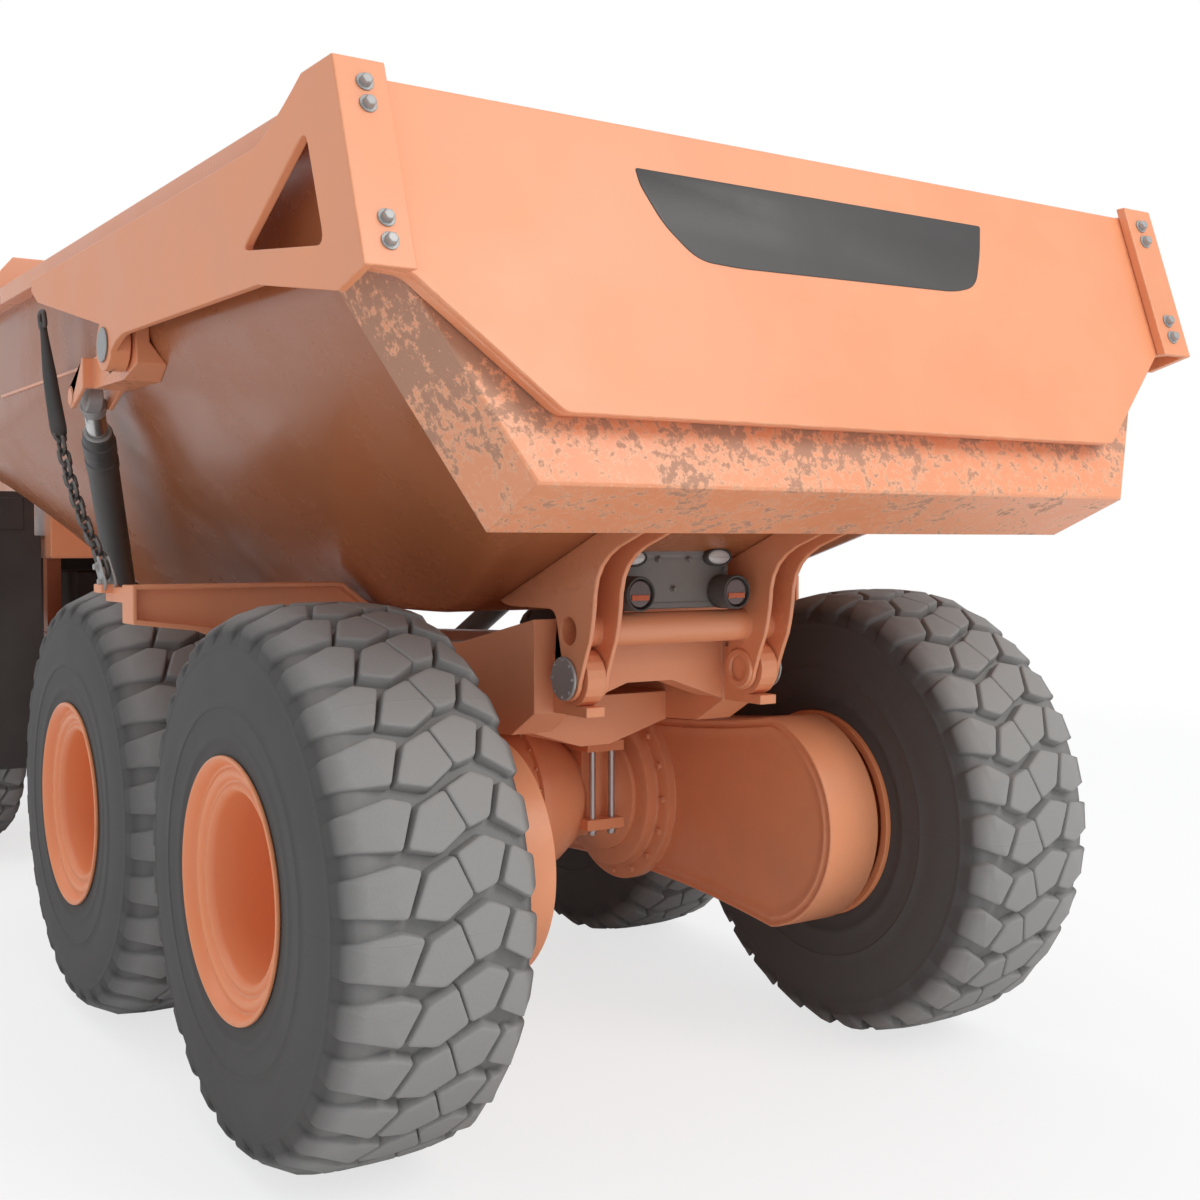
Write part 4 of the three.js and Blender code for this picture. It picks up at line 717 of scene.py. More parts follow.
def rounded_outline(corners, radii, steps=7):
    """A polygon whose corners are swapped for arcs drawn as quadratic curves of the given reach."""
    corners, out = np.array(corners, float), []
    share = np.linspace(0, 1, steps)[:, None]
    for before, corner, after, reach in zip(np.roll(corners, 1, 0), corners, np.roll(corners, -1, 0), radii):
        start = corner + (before - corner) * reach / np.linalg.norm(before - corner)
        end = corner + (after - corner) * reach / np.linalg.norm(after - corner)
        out.append((1 - share) ** 2 * start + 2 * share * (1 - share) * corner + share ** 2 * end)
    return np.concatenate(out)


panel_outline = rounded_outline([(-0.225, 1.578), (0.225, 1.578), (0.225, 1.744), (0.19, 1.766), (-0.19, 1.766),
                                 (-0.225, 1.744)], [0.03, 0.03, 0.02, 0.02, 0.02, 0.02])
panel = [carried(panel_outline, [(-0.004, panel_y), (0, panel_y + 0.003), (0, panel_y + 0.010),
                                 (-0.004, panel_y + 0.0135), (-0.018, panel_y + 0.014), (-0.022, panel_y + 0.011)],
                 along_y)]
panel += [sided(sign, 0.200, 0.2865, panel_y, panel_y + 0.014, 1.600, 1.680) for sign in (1, -1)]
for x, z in ((0.0, 1.64), (-0.06, 1.735), (0.06, 1.735), (-0.205, 1.70), (0.205, 1.70)):
    panel += bolt((x, panel_y + 0.0125, z), (0, 1, 0), 0.014)
build("lamp_panel_plate", panel, panel_grey, "bed", ["light_panel"])
lamp_rings, amber, smoked, clear = [], [], [], []
circle = np.stack([np.cos(np.arange(48) * math.pi / 24), np.sin(np.arange(48) * math.pi / 24)], -1)
for sign in (1, -1):
    place = (sign * 0.190, panel_y + 0.013, 1.630)
    lamp_rings.append(turned([(0.048, 0), (0.055, 0.004), (0.055, 0.086), (0.053, 0.090), (0.048, 0.090),
                              (0.046, 0.072), (0, 0.070)], place, (0, 1, 0), 48))
    smoked.append(turned([(0, 0.066), (0.045, 0.066), (0.045, 0.076), (0.040, 0.083), (0, 0.086)], place,
                         (0, 1, 0), 48))
    for rib in np.linspace(-0.030, 0.030, 11):
        amber.append(slab(place[0] + rib - 0.0022, place[0] + rib + 0.0022, place[1] + 0.080, place[1] + 0.0885,
                          place[2] - 0.020, place[2] - 0.002))
    centre = np.array((sign * 0.170, 1.742))
    shell = circle * (0.052, 0.030) + centre
    lamp_rings.append(carried(shell, [(0, panel_y + 0.012), (0, panel_y + 0.034), (-0.003, panel_y + 0.038),
                                      (-0.005, panel_y + 0.038), (-0.006, panel_y + 0.026)], along_y))
    clear.append(carried(circle * (0.0455, 0.0235) + centre,
                         [(0, panel_y + 0.025), (0, panel_y + 0.032), (-0.006, panel_y + 0.036),
                          (-0.014, panel_y + 0.0375)], along_y))
lens_amber = worn_finish("lens_amber", (0.75, 0.13, 0.02, 1), 0.18, dust=0.12, rub=0, bump=0.0, coat=0.6)
lens_clear = worn_finish("lens_clear", (0.62, 0.62, 0.60, 1), 0.14, dust=0.12, rub=0, bump=0.0, coat=0.8)
build("lamp_housings", lamp_rings, dark_plastic, "bed")
lens_smoked = worn_finish("lens_smoked", (0.075, 0.030, 0.022, 1), 0.12, dust=0.1, rub=0, bump=0.0, coat=0.8)
build("lamp_lenses_amber", amber, lens_amber, "bed", ease=0.001)
build("lamp_lenses_smoked", smoked, lens_smoked, "bed")
build("lamp_lenses_clear", clear, lens_clear, "bed")

# ---------------------------------------------------------------- tailgate and its arms
# A slanted gate of two plates laid on each other, with a groove between them round the edge and a plain
# dark band across its top. Long arms carry it from pivots on the bed's sides.
gate_paint = worn_finish("gate_paint", orange, 0.33, dust=0.10, dust_colour=(0.62, 0.34, 0.22, 1), bump=0.02,
                         rub=0.8)
gate_outline = rounded_outline([(-0.990, 2.088), (0.990, 2.088), (1.339, 2.393), (1.4395, 2.400), (1.4395, 2.862),
                                (-1.4395, 2.862), (-1.4395, 2.400), (-1.339, 2.393)],
                               [0.02, 0.02, 0.02, 0.01, 0.008, 0.008, 0.01, 0.02])
gate_back, gate_face = tail_plane + 0.006, rear_axle + 1.832
on_gate = lambda flat, depth: np.stack([flat[:, 0], depth - tail_slope * flat[:, 1], flat[:, 1]], -1)
build("tailgate_plates", [carried(gate_outline, [
    (-0.003, gate_back), (0, gate_back + 0.003), (0, gate_back + 0.036), (-0.003, gate_back + 0.038),
    (-0.005, gate_back + 0.040), (-0.005, gate_back + 0.044), (-0.002, gate_back + 0.046),
    (-0.001, gate_face - 0.004), (-0.004, gate_face)], on_gate)], gate_paint, "tailgate",
    ["tailgate_panel"], angle=30)
band_outline = rounded_outline([(0.645, 2.745), (-0.633, 2.745), (-0.600, 2.655), (-0.545, 2.545), (-0.448, 2.520),
                                (0.364, 2.505), (0.500, 2.512), (0.590, 2.600), (0.640, 2.699)],
                               [0.01, 0.01, 0.03, 0.045, 0.045, 0.05, 0.05, 0.04, 0.02])
band_dark = worn_finish("band_dark", (0.045, 0.042, 0.040, 1), 0.42, dust=0.25, dust_colour=(0.1, 0.085, 0.075, 1),
                        rub=0.2, rub_colour=(0.2, 0.18, 0.17, 1), bump=0.03)
build("tailgate_band", [carried(band_outline, [(0, gate_face - 0.002), (0, gate_face + 0.0008),
                                               (-0.001, gate_face + 0.0014)], on_gate)], band_dark, "tailgate")
gate_bolts, pivot_caps = [], []
arm_y, arm_z = 2.661, 2.437
out_of_gate = np.array((0, 1, tail_slope)) / math.hypot(1, tail_slope)
for side, sign in both_sides:
    eased(f"tailgate_arm_{side}", gate_paint, "tailgate")
    bracket = eased(f"lift_bracket_{side}", bed_paint, "bed")
    bracket.data.materials.append(cap_grey)
    reach = np.array([abs(face.center[0]) for face in bracket.data.polygons])
    bracket.data.polygons.foreach_set("material_index", (reach > 1.4693).astype(int))
    for z in (2.832, 2.779, 2.508, 2.454):
        gate_bolts += bolt((sign * 1.397, gate_face + 0.033 - tail_slope * z, z), out_of_gate, 0.026)
    pivot_caps += bolt_ring((sign * 1.4705, arm_y, arm_z), (sign, 0, 0), 0.047, 8, 0.008)
build("gate_bolts", gate_bolts, cap_grey, "tailgate")
build("arm_pivot_screws", pivot_caps, cap_grey, "tailgate")

# ---------------------------------------------------------------- check chains
# Short-link steel chain from each arm's tip down to the outrigger's end, so that tipping the bed pulls
# the gate open. A tapered rubber sleeve covers the upper part, and bolted plates hold the lower end.
chain_route = np.array([(-1.045, 1.672), (-1.120, 1.745), (-1.265, 1.827), (-1.400, 1.927), (-1.520, 2.040),
                        (-1.640, 2.190), (-1.760, 2.400), (-1.876, 2.664)]) + (rear_axle, 0)
chain_steel = worn_finish("chain_steel", (0.13, 0.122, 0.115, 1), 0.42, metallic=0.6, dust=0.4,
                          dust_colour=(0.14, 0.1, 0.07, 1), rub=0.6, rub_colour=(0.3, 0.29, 0.28, 1), bump=0.1)
sleeve_rubber = worn_finish("sleeve_rubber", (0.05, 0.048, 0.046, 1), 0.62, dust=0.4,
                            dust_colour=(0.12, 0.1, 0.085, 1), rub=0.2, rub_colour=(0.14, 0.13, 0.12, 1), bump=0.15)


def route_points(shares):
    """Points and unit tangents at shares of the length of a smoothed route."""
    dense = np.linspace(0, len(chain_route) - 1, 200)
    knots = np.arange(len(chain_route))
    path = np.stack([np.interp(dense, knots, chain_route[:, k]) for k in (0, 1)], -1)
    padded = np.pad(path, ((12, 12), (0, 0)), mode="reflect", reflect_type="odd")
    path = np.stack([np.convolve(padded[:, k], np.ones(25) / 25, "valid") for k in (0, 1)], -1)
    length = np.concatenate([[0], np.cumsum(np.linalg.norm(np.diff(path, axis=0), axis=1))])
    at = np.asarray(shares) * length[-1]
    place = np.stack([np.interp(at, length, path[:, k]) for k in (0, 1)], -1)
    ahead = np.stack([np.interp(at + 0.01, length, path[:, k]) - np.interp(at - 0.01, length, path[:, k])
                      for k in (0, 1)], -1)
    return place, ahead / np.linalg.norm(ahead, axis=1, keepdims=True)


def link_points(centres, ahead, flat, wire_radius=0.0078, half=0.037, width=0.0185):
    """Long round-ended links: a wire swept round a track of two straights and two half circles."""
    turn = np.linspace(0, 2 * math.pi, 32, endpoint=False)
    track = np.stack([np.cos(turn) * width, np.sin(turn) * width + np.sign(np.sin(turn)) * (half - width)], -1)
    outward = np.stack([np.cos(turn), np.sin(turn)], -1)
    ring = np.linspace(0, 2 * math.pi, 12, endpoint=False)
    aside, along = (track[:, None, k] + wire_radius * np.cos(ring)[None] * outward[:, None, k] for k in (0, 1))
    over = np.broadcast_to(wire_radius * np.sin(ring)[None], aside.shape)
    across = np.stack([np.zeros(len(ahead)), -ahead[:, 1], ahead[:, 0]], -1)
    forward = np.stack([np.zeros(len(ahead)), ahead[:, 0], ahead[:, 1]], -1)
    sideways = np.broadcast_to(np.array((1.0, 0, 0)), across.shape)
    tilt = math.radians(12)
    u = np.where(flat[:, None], across * math.cos(tilt) + sideways * math.sin(tilt),
                 sideways * math.cos(tilt) - across * math.sin(tilt))
    w = np.where(flat[:, None], sideways * math.cos(tilt) - across * math.sin(tilt),
                 across * math.cos(tilt) + sideways * math.sin(tilt))
    return centres[:, None, None] + aside[None, ..., None] * u[:, None, None] \
        + along[None, ..., None] * forward[:, None, None] + over[None, ..., None] * w[:, None, None]


link_share = np.linspace(0.028, 0.60, 14)
link_place, link_ahead = route_points(link_share)
sleeve_share = np.linspace(0.585, 0.965, 30)
sleeve_place, sleeve_ahead = route_points(sleeve_share)
sleeve_radius = np.interp(sleeve_share, [0.585, 0.59, 0.62, 0.80, 0.93, 0.955, 0.965],
                          [0.014, 0.026, 0.030, 0.025, 0.014, 0.013, 0.011])
ring = np.linspace(0, 2 * math.pi, 28, endpoint=False)
chain_x = 1.436
plate_along, plate_across = np.array((-0.712, 0.702)), np.array((0.702, 0.712))
plate_centre = np.array((2.551, 1.672))
plate_outline = rounded_outline([plate_centre + plate_along * a + plate_across * b
                                 for a, b in ((-0.055, -0.027), (0.085, -0.027), (0.085, 0.027), (-0.055, 0.027))],
                                [0.02] * 4)
for side, sign in both_sides:
    spots = np.concatenate([np.full((len(link_place), 1), sign * chain_x), link_place], 1)
    links = link_points(spots, link_ahead, np.arange(len(spots)) % 2 == 0)
    one = grid_faces(32, 12, wrap_rows=True, wrap_columns=True)
    faces = (one[None] + (np.arange(len(spots)) * 32 * 12)[:, None, None]).reshape(-1, 4)
    upper, upper_ahead = route_points([0.975])
    hook = link_points(np.array([[sign * chain_x, *upper[0]]]), upper_ahead, np.array([True]), 0.009, 0.036, 0.019)
    build(f"chain_links_{side}", [(links.reshape(-1, 3), faces), (hook.reshape(-1, 3), one)], chain_steel,
          f"chain_{side}", [f"check_chain_{side}"], angle=60)
    middle = np.concatenate([np.full((len(sleeve_place), 1), sign * chain_x), sleeve_place], 1)
    across = np.stack([np.zeros(len(sleeve_ahead)), -sleeve_ahead[:, 1], sleeve_ahead[:, 0]], -1)
    tube = middle[:, None] + sleeve_radius[:, None, None] * (
        np.cos(ring)[None, :, None] * np.array((1.0, 0, 0)) + np.sin(ring)[None, :, None] * across[:, None])
    lids = [list(range(28)), list(range(29 * 28, 30 * 28))]
    build(f"chain_sleeve_{side}", [(tube.reshape(-1, 3), grid_faces(30, 28, wrap_columns=True).tolist() + lids)],
          sleeve_rubber, f"chain_{side}", angle=50)
    shackle = []
    for offset in (-0.020, 0.013):
        low_x, high_x = sorted((sign * (chain_x + offset), sign * (chain_x + offset + 0.007)))
        shackle.append(carried(plate_outline, [(0, low_x), (0, high_x)], along_x))
    for along in (-0.020, 0.050):
        centre = plate_centre + plate_along * along
        shackle += bolt((sign * (chain_x + 0.020), centre[0], centre[1]), (sign, 0, 0), 0.020)
    build(f"chain_shackle_{side}", shackle, cap_grey, f"chain_{side}", ease=0.003)

# ---------------------------------------------------------------- hoist cylinders
# Each cylinder is a dark painted barrel with a stepped gland at its top, a hard-chromed rod and a forged
# eye. Its foot is a ball in a cup on the frame, so that it can lean as the bed tips.
foot, eye = np.array((0.600, 0.216, 0.800)), np.array((1.362, 2.131, 2.312))
hoist_length = float(np.linalg.norm(eye - foot))
barrel_dark = worn_finish("barrel_dark", (0.072, 0.070, 0.067, 1), 0.33, dust=0.3,
                          dust_colour=(0.13, 0.12, 0.105, 1), rub=0.4, rub_colour=(0.3, 0.29, 0.28, 1), bump=0.03)
chrome = worn_finish("chrome_rod", (0.66, 0.66, 0.65, 1), 0.16, metallic=1.0, dust=0.1, rub=0, bump=0.01)
barrel_end = hoist_length - 0.190
barrel_profile = [(0, 0.098), (0.050, 0.098), (0.060, 0.106), (0.062, 0.116), (0.062, 0.20), (0.0585, 0.205),
                  (0.0585, barrel_end - 0.20), (0.062, barrel_end - 0.195), (0.062, barrel_end - 0.150),
                  (0.0585, barrel_end - 0.146), (0.0585, barrel_end - 0.11), (0.062, barrel_end - 0.106),
                  (0.062, barrel_end - 0.050), (0.0585, barrel_end - 0.046), (0.056, barrel_end - 0.02),
                  (0.054, barrel_end - 0.002), (0.051, barrel_end), (0.0385, barrel_end), (0.0385, barrel_end - 0.06),
                  (0, barrel_end - 0.06)]
rod_profile = [(0, 0.141), (0.0415, 0.141), (0.0415, 0.200), (0.038, 0.203), (0.038, hoist_length - 0.070),
               (0, hoist_length - 0.070)]
for side, sign in both_sides:
    flip = np.array((sign, 1, 1))
    lean = (eye - foot) * flip
    ball = [(0.054 * math.sin(a), -0.054 * math.cos(a)) for a in np.linspace(0.0, math.pi, 19)]
    build(f"hoist_barrel_{side}_turned", [turned(barrel_profile, foot * flip, lean, 64),
                                          rod(0.040, 0.075, foot * flip, lean, 32, start=0.03),
                                          turned(ball, foot * flip, lean, 40)], barrel_dark,
          f"hoist_barrel_{side}", [f"hoist_barrel_{side}"], angle=35)
    build(f"hoist_rod_{side}_chromed", [turned(rod_profile, foot * flip, lean, 48)], chrome, f"hoist_rod_{side}",
          [f"hoist_rod_{side}"], angle=35)
    neck = turned([(0.036, hoist_length - 0.082), (0.041, hoist_length - 0.078), (0.047, hoist_length - 0.052),
                   (0.047, hoist_length - 0.034), (0, hoist_length - 0.030)], foot * flip, lean, 40)
    gland = turned([(0.0386, barrel_end - 0.004), (0.0386, barrel_end + 0.006), (0.049, barrel_end + 0.006),
                    (0.052, barrel_end + 0.003), (0.052, barrel_end - 0.001)], foot * flip, lean, 48)
    build(f"hoist_gland_{side}", [gland], cap_grey, f"hoist_barrel_{side}", angle=35)
    eye_profile = [(0, 0), (0.014, 0), (0.016, 0.003), (0.030, 0.003), (0.032, 0), (0.046, 0), (0.050, 0.004),
                   (0.050, 0.052), (0.046, 0.056), (0, 0.056)]
    forged_eye = turned(eye_profile, (sign * 1.334, eye[1], eye[2]), (sign, 0, 0), 48)
    build(f"hoist_eye_{side}", [forged_eye, neck], cap_grey, f"hoist_rod_{side}", angle=35)

# ---------------------------------------------------------------- hitch, steering and drive between the halves
# A cast block turns on the steering pin and holds the roll bearing's barrel. Two small cylinders beside
# it push the halves apart or together, and each has a chromed rod.
hitch_dark = worn_finish("hitch_dark", (0.070, 0.064, 0.060, 1), 0.45, dust=0.45, dust_colour=(0.16, 0.12, 0.09, 1),
                         rub=0.5, rub_colour=(0.28, 0.26, 0.25, 1), bump=0.1)
eased("articulation_hitch", hitch_dark, "hitch", 0.006)
hitch_y, steer_z = -0.654, 0.905
hitch_caps = [turned([(0, 0), (0.085, 0), (0.085, 0.014), (0.080, 0.018), (0.055, 0.018), (0.052, 0.012), (0, 0.012)],
                     (0, hitch_y, 1.2505), (0, 0, 1), 48)]
hitch_caps += bolt_ring((0, hitch_y, 1.268), (0, 0, 1), 0.068, 6, 0.014)
build("steering_pin_cap", hitch_caps, cap_grey, "tractor")
for side, sign in both_sides:
    start, end = np.array((sign * 0.375, -1.404, steer_z)), np.array((sign * 0.285, -0.479, steer_z))
    line = end - start
    reach = float(np.linalg.norm(line))
    low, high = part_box(f"steer_barrel_{side}")
    length = min(reach - 0.2, (high.y - start[1]) * reach / abs(line[1]) - 0.002)
    ring_z = 0.8655
    tube = [(0, 0.042), (0.034, 0.042), (0.0375, 0.048), (0.0375, length - 0.06), (0.0355, length - 0.055),
            (0.0375, length - 0.050), (0.0375, length - 0.006), (0.034, length), (0.0235, length), (0, length - 0.01)]
    eye_ring = [(0, 0), (0.048, 0), (0.052, 0.004), (0.052, 0.056), (0.048, 0.060), (0.032, 0.060), (0.030, 0.054),
                (0, 0.054)]
    build(f"steer_barrel_{side}_turned", [turned(tube, start, line, 40),
                                          turned(eye_ring, (start[0], start[1], ring_z), (0, 0, 1), 40)],
          barrel_dark, f"steer_barrel_{side}", [f"steer_barrel_{side}"], angle=35)
    rod_steps = [(0, 0.331), (0.0215, 0.331), (0.0215, reach - 0.060), (0.028, reach - 0.055),
                 (0.028, reach - 0.03), (0, reach - 0.03)]
    build(f"steer_rod_{side}_chromed", [turned(rod_steps, start, line, 32)], chrome, f"steer_rod_{side}",
          [f"steer_rod_{side}"], angle=35)
    build(f"steer_eye_{side}", [turned(eye_ring, (end[0], end[1], ring_z), (0, 0, 1), 40)], cap_grey,
          f"steer_rod_{side}", angle=35)

# ---------------------------------------------------------------- engine, bumper, fenders and ladders
# Pressed steel and moulded plastic in dark grey: boxed front fenders that carry a locker and a ladder, a
# deep bumper with a tow pin, and the engine as one dusty mass under the hood.
engine_dark = worn_finish("engine_dark", (0.055, 0.052, 0.050, 1), 0.55, dust=0.6, dust_colour=(0.12, 0.10, 0.08, 1),
                          rub=0.3, rub_colour=(0.2, 0.19, 0.18, 1), bump=0.15)
fender_dark = worn_finish("fender_dark", (0.040, 0.036, 0.034, 1), 0.52, dust=0.35,
                          dust_colour=(0.095, 0.08, 0.068, 1), rub=0.25, rub_colour=(0.14, 0.13, 0.12, 1), bump=0.05)
eased("engine_block", engine_dark, "tractor", 0.012)
eased("front_bumper", fender_dark, "tractor", 0.010)
engine_trim = [slab(-0.285 + 0.095 * k, -0.245 + 0.095 * k, -4.27, -3.05, 1.779, 1.80) for k in range(6)]
build("engine_ribs", engine_trim, engine_dark, "tractor", ease=0.005)
tread_steel = worn_finish("tread_steel", (0.16, 0.155, 0.15, 1), 0.5, metallic=0.5, dust=0.45,
                          dust_colour=(0.16, 0.13, 0.11, 1), rub=0.7, rub_colour=(0.42, 0.41, 0.4, 1), bump=0.12)
for side, sign in both_sides:
    eased(f"front_fender_{side}", fender_dark, "tractor", 0.005)
    grips = [sided(sign, 0.915, 1.285, y - 0.006, y + 0.006, z - 0.001, z + 0.006)
             for z in (0.51, 0.85, 1.19, 1.50) for y in np.linspace(-3.235, -3.075, 6)]
    build(f"ladder_grips_{side}", grips, tread_steel, "tractor", ease=0.002)
    rail = [rod(0.014, 0.62, (sign * x, -2.62, 1.829), (0, 0, 1)) for x in (0.800, 1.395)]
    rail.append(rod(0.014, 0.595, (min(sign * 0.800, sign * 1.395), -2.62, 2.435), (1, 0, 0)))
    build(f"deck_rail_{side}", rail, fender_dark, "tractor", angle=40)
    locker = [sided(sign, 0.84, 1.34, -1.2245, -1.2185, 1.865, 2.045),
              sided(sign, 1.05, 1.13, -1.219, -1.209, 1.94, 1.965)]
    build(f"locker_lid_{side}", locker, fender_dark, "tractor", ease=0.003)
    plates = [sided(sign, 0.80, 1.37, y, y + 0.26, 1.829, 1.833) for y in (-2.50, -2.20, -1.90)]
    build(f"deck_plates_{side}", plates, tread_steel, "tractor", ease=0.001)
tow = turned([(0, 0), (0.045, 0), (0.045, 0.014), (0.022, 0.018), (0.022, 0.030), (0, 0.032)], (0, -4.63, 1.075),
             (0, 0, 1), 32)
build("tow_pin", [tow], cap_grey, "tractor", angle=40)

# ---------------------------------------------------------------- hood and grille
# A one-piece moulded hood on hinges at the bumper. Louvres are let into its sides, a slatted grille with
# fine bars closes its nose, and a headlamp sits on each side of the grille.
hood_paint = worn_finish("hood_paint", orange, 0.30, dust=0.18, dust_colour=(0.5, 0.28, 0.18, 1), bump=0.02, coat=0.3)
eased("engine_hood", hood_paint, "hood", 0.004)
eased("radiator_grille", fender_dark, "hood", 0.005)
grille_bars = [slab(x - 0.003, x + 0.003, -4.652, -4.640, 1.36, 1.86) for x in np.linspace(-0.42, 0.42, 29)]
build("grille_bars", grille_bars, dark_plastic, "hood")
louvres, lamp_shells, lamp_glass = [], [], []
for sign in (1, -1):
    for z in np.linspace(1.46, 1.86, 9):
        points = [(sign * 0.6185, y, z + dz) for y in (-4.05, -3.35) for dz in (0, 0.030)]
        points += [(sign * 0.634, y, z + dz) for y in (-4.04, -3.36) for dz in (0.0, 0.010)]
        louvres.append((points, block_faces))
    louvres += [sided(sign, 0.6195, 0.628, y, y + 0.03, 1.43, 1.92) for y in (-4.10, -3.33)]
    square = rounded_outline(np.array([(-0.055, -0.085), (0.055, -0.085), (0.055, 0.085), (-0.055, 0.085)])
                             + (sign * 0.545, 1.70), [0.02] * 4)
    ahead = lambda flat, depth: along_y(flat, -depth)
    lamp_shells.append(carried(square, [(0.006, 4.645), (0.006, 4.668), (0.002, 4.674), (-0.004, 4.674),
                                        (-0.007, 4.660)], ahead))
    lamp_glass.append(carried(square, [(-0.006, 4.655), (-0.006, 4.664), (-0.010, 4.668), (-0.014, 4.670)], ahead))
build("hood_louvres", louvres, fender_dark, "hood", ease=0.0015)
build("headlamp_shells", lamp_shells, dark_plastic, "hood")
build("headlamp_lenses", lamp_glass, lens_clear, "hood")

# ---------------------------------------------------------------- cab, door, glass and mirrors
# A welded steel cab with bonded windows in rubber seals, a hinged door with a pull handle, wipers, and
# mirrors on tube arms. The exhaust stack stands behind it inside a banded heat shield.
cab_paint = worn_finish("cab_paint", orange, 0.28, dust=0.15, dust_colour=(0.5, 0.28, 0.18, 1), bump=0.02, coat=0.3)
seal_rubber = worn_finish("seal_rubber", (0.025, 0.024, 0.023, 1), 0.6, dust=0.3, dust_colour=(0.08, 0.07, 0.06, 1),
                          rub=0, bump=0.05)
eased("cab_shell", cab_paint, "tractor", 0.012)
eased("cab_door", cab_paint, "door", 0.006)


def clear_glass():
    """Tinted glass: mostly clear, mirror-like at a glancing look, with a film of dust from a noise."""
    material = bpy.data.materials.new("window_glass")
    material.use_nodes = True
    tree = material.node_tree
    shader = tree.nodes["Principled BSDF"]
    place = wire(tree, "TexCoord").outputs["Object"]
    film = wire(tree, "TexNoise", Vector=place, Scale=3.0, Detail=6.0)
    tree.links.new(ramp(tree, film.outputs["Fac"], 0.4, 0.75, 0.02, 0.16), shader.inputs["Roughness"])
    shader.inputs["Base Color"].default_value = (0.55, 0.66, 0.66, 1)
    shader.inputs["Transmission Weight"].default_value = 0.92
    shader.inputs["IOR"].default_value = 1.45
    return material


glass = clear_glass()
paint_nodes(glass, "windscreen", "rear_window", "right_window", "cab_door_glass")


def seal_round(plane, low, high, to_space, lip=0.014, out=0.006):
    """A rubber frame round a window: a flattened tube swept round a rounded rectangle."""
    corners = [low, (high[0], low[1]), high, (low[0], high[1])]
    outline = rounded_outline(corners, [0.03] * 4)
    steps = [(-lip, 0.0), (-lip, out), (0, out + 0.002), (lip * 0.7, out), (lip * 0.7, 0.0)]
    rings = [(o, plane + d) for o, d in steps]
    points, faces = carried(outline, rings, to_space)
    count = len(outline)
    return points, faces[:-2] + [[c, (c + 1) % count, 4 * count + (c + 1) % count, 4 * count + c]
                                 for c in range(count)]


cab_front, cab_rear, screen_slope = -2.804, -1.104, 140 / 920
leaning = lambda flat, depth: np.stack([flat[:, 0], cab_front + screen_slope * np.clip(flat[:, 1] - 2.3, 0, None)
                                        - depth, flat[:, 1]], -1)
build("windscreen_seal", [seal_round(0.0, (-0.600, 2.340), (0.600, 3.140), leaning)], seal_rubber, "tractor")
build("rear_window_seal", [seal_round(cab_rear, (-0.560, 2.250), (0.560, 3.050), along_y)], seal_rubber,
      "tractor")
build("right_window_seal", [seal_round(0.720, (-2.534, 2.250), (-1.60, 3.080), lambda flat, depth: along_x(
    flat, -depth))], seal_rubber, "tractor")
build("door_window_seal", [seal_round(0.722, (-2.529, 2.250), (-1.719, 3.040), along_x)], seal_rubber, "door")
handle = [slab(0.7215, 0.735, -1.760, -1.700, 2.06, 2.14), slab(0.735, 0.752, -1.755, -1.738, 2.07, 2.13),
          slab(0.7215, 0.752, -1.755, -1.738, 2.07, 2.08), slab(0.7215, 0.752, -1.755, -1.738, 2.12, 2.13)]
build("door_handle", handle, dark_plastic, "door", ease=0.002)
pull = [rod(0.011, 0.50, (0.752, -1.690, 1.95), (0, 0, 1))]
pull += [rod(0.010, 0.034, (0.720, -1.690, z), (1, 0, 0), 16) for z in (1.97, 2.43)]
build("door_pull", pull, fender_dark, "door", angle=40)
wipers = []
for x, lean_x in ((-0.28, 0.30), (0.30, 0.30)):
    for spread, start_z, reach_z, thick in ((lean_x, 2.335, 0.50, 0.008), (lean_x * 0.55, 2.50, 0.45, 0.006)):
        foot_y = cab_front + screen_slope * (start_z - 2.3) - 0.022
        wipers.append(rod(thick, 0.62 * reach_z / 0.5, (x + (lean_x - spread) * 0.4, foot_y, start_z),
                          (spread, screen_slope * reach_z, reach_z), 12))
    wipers.append(rod(0.022, 0.030, (x, cab_front + 0.002, 2.325), (0, -1, 0), 24))
build("wipers", wipers, dark_plastic, "tractor", angle=40)
roof = [slab(-0.52, 0.52, -2.30, -1.45, 3.292, 3.2995)]
build("roof_hatch", roof, cab_paint, "tractor", ease=0.003)
mirror_glass = worn_finish("mirror_glass", (0.75, 0.78, 0.8, 1), 0.05, metallic=1.0, dust=0.1, rub=0, bump=0.0)
for side, sign in both_sides:
    eased(f"mirror_{side}", dark_plastic, "tractor", 0.010)
    face = rounded_outline(np.array([(-0.085, -0.165), (0.085, -0.165), (0.085, 0.165), (-0.085, 0.165)])
                           + (sign * 1.160, 2.560), [0.03] * 4)
    build(f"mirror_face_{side}", [carried(face, [(0, -2.670), (0, -2.6675), (-0.002, -2.6665)], along_y)],
          mirror_glass, "tractor")
stack_profile = [(0, 0), (0.060, 0), (0.060, 0.02), (0.093, 0.03), (0.095, 0.05), (0.095, 0.06), (0.091, 0.065),
                 (0.091, 0.38), (0.095, 0.385), (0.095, 0.425), (0.091, 0.43), (0.091, 0.75), (0.095, 0.755),
                 (0.095, 0.80), (0.085, 0.82), (0.055, 0.822), (0.055, 1.349), (0.051, 1.350), (0.049, 1.346),
                 (0.049, 1.05), (0, 1.05)]
exhaust_steel = worn_finish("exhaust_steel", (0.20, 0.17, 0.15, 1), 0.5, metallic=0.6, dust=0.5,
                            dust_colour=(0.17, 0.09, 0.05, 1), rub=0.4, rub_colour=(0.4, 0.37, 0.34, 1), bump=0.12)
stack_low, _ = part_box("exhaust_stack")
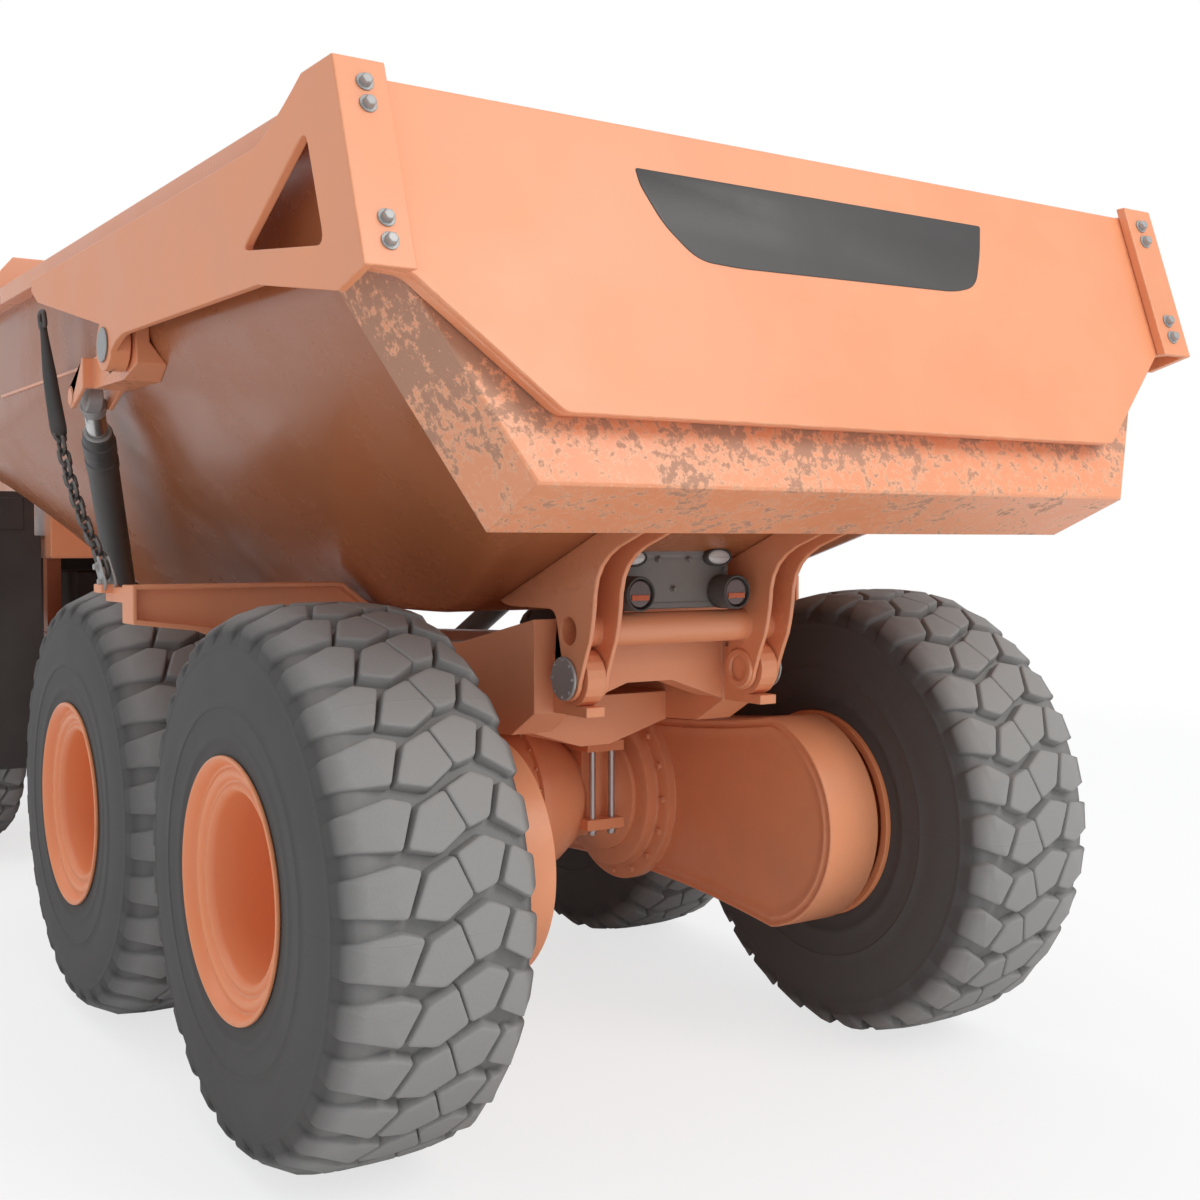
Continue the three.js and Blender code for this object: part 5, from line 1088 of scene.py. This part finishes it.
build("exhaust_turned", [turned(stack_profile, (-0.900, -2.384, stack_low.z), (0, 0, 1), 56)], exhaust_steel,
      "tractor", ["exhaust_stack"], angle=35)

# ---------------------------------------------------------------- inside the cab
# A sprung seat in woven cloth on a bellows base, a moulded dash with a blank screen and rocker switches,
# and a steering wheel on a tilted column.
cab_trim = worn_finish("cab_trim", (0.045, 0.045, 0.047, 1), 0.6, dust=0.25, dust_colour=(0.12, 0.11, 0.1, 1), rub=0,
                       grain=320, bump=0.12)
eased("dash_console", cab_trim, "tractor", 0.008)
low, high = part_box("seat_base")
bellows = []
for k in range(7):
    z = low.z + 0.03 + k * 0.028
    for reach, z0, z1 in ((0.190, z, z + 0.014), (0.172, z + 0.012, z + 0.030)):
        bellows.append(slab(-reach, reach, (low.y + high.y) / 2 - reach, (low.y + high.y) / 2 + reach, z0, z1))
bellows += [slab(low.x, high.x, low.y, high.y, low.z, low.z + 0.035), slab(low.x, high.x, low.y, high.y,
                                                                          high.z - 0.05, high.z)]
build("seat_bellows", bellows, cab_trim, "tractor", ["seat_base"], ease=0.005)
build("dash_screen", [slab(0.19, 0.39, -2.60, -2.47, 2.208, 2.222)] + [
    slab(-0.40 + 0.06 * k, -0.365 + 0.06 * k, -2.56, -2.52, 2.205, 2.216) for k in range(4)], dark_plastic, "tractor",
      ease=0.002)


def woven_cloth():
    """Twill: two crossed sets of fine waves on the piece's own coordinates, as tone and height."""
    def weave(tree, place, colour, rough, height):
        """Adds the twill's height and a slight tone to the worn base."""
        threads = [wire(tree, "TexWave", {"bands_direction": way}, Vector=place, Scale=90.0,
                        Distortion=0.6).outputs["Fac"] for way in ("DIAGONAL", "X")]
        twill = maths(tree, "MULTIPLY", *threads)
        toned = blend(tree, twill, colour, (0.07, 0.07, 0.075, 1))
        return toned, rough, maths(tree, "MULTIPLY_ADD", twill, 0.8, height)
    material = worn_finish("seat_cloth", (0.028, 0.028, 0.032, 1), 0.92, dust=0.2, dust_colour=(0.09, 0.08, 0.07, 1),
                           rub=0, bump=0.3, added_marks=weave)
    material.node_tree.nodes["Principled BSDF"].inputs["Sheen Weight"].default_value = 0.3
    return material


seat_cloth = woven_cloth()
seat_low, seat_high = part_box("operator_seat")


def cushion(name, centre, half, lean, crown, channels):
    """A stuffed block: a superellipsoid whose faces crown in the middle and dip along sewn channels."""
    turn = np.linspace(-math.pi / 2, math.pi / 2, 60)[:, None]
    spin = np.linspace(0, 2 * math.pi, 120, endpoint=False)[None, :]
    power = lambda wave, n: np.sign(wave) * np.abs(wave) ** n
    x = power(np.cos(turn), 0.28) * power(np.cos(spin), 0.26)
    y = power(np.cos(turn), 0.28) * power(np.sin(spin), 0.26)
    z = power(np.sin(turn), 0.5) * np.ones_like(spin)
    swell = crown * np.cos(x * math.pi / 2) * np.cos(y * math.pi / 2)
    sewn = sum(np.exp(-((x - c) / 0.035) ** 2) for c in channels) * 0.10 if channels else 0
    z = z * (0.86 + swell - sewn)
    flat = np.stack([x * half[0], y * half[1], z * half[2]], -1).reshape(-1, 3)
    c, s = math.cos(lean), math.sin(lean)
    points = np.stack([flat[:, 0], flat[:, 1] * c - flat[:, 2] * s, flat[:, 1] * s + flat[:, 2] * c], -1) + centre
    piece = build(name, [(points, grid_faces(60, 120, wrap_columns=True))], seat_cloth, "tractor",
                  ["operator_seat"], angle=70)
    return piece


middle_y = (seat_low.y + seat_high.y) / 2
cushion("seat_cushion", np.array((0, middle_y - 0.04, seat_low.z + 0.075)), (0.250, 0.262, 0.072), 0.04, 0.14,
        (-0.55, 0.55))
cushion("seat_back", np.array((0, seat_high.y - 0.115, seat_low.z + 0.400)), (0.245, 0.290, 0.072),
        math.pi / 2 - 0.10, 0.14, (-0.5, 0.5))
cushion("seat_headrest", np.array((0, seat_high.y - 0.080, seat_high.z - 0.065)), (0.150, 0.062, 0.055),
        math.pi / 2 - 0.10, 0.10, ())
arms = [sided(sign, 0.262, 0.322, middle_y - 0.16, middle_y + 0.20, 2.335, 2.378) for sign in (1, -1)]
build("seat_armrests", arms, cab_trim, "tractor", ease=0.015)
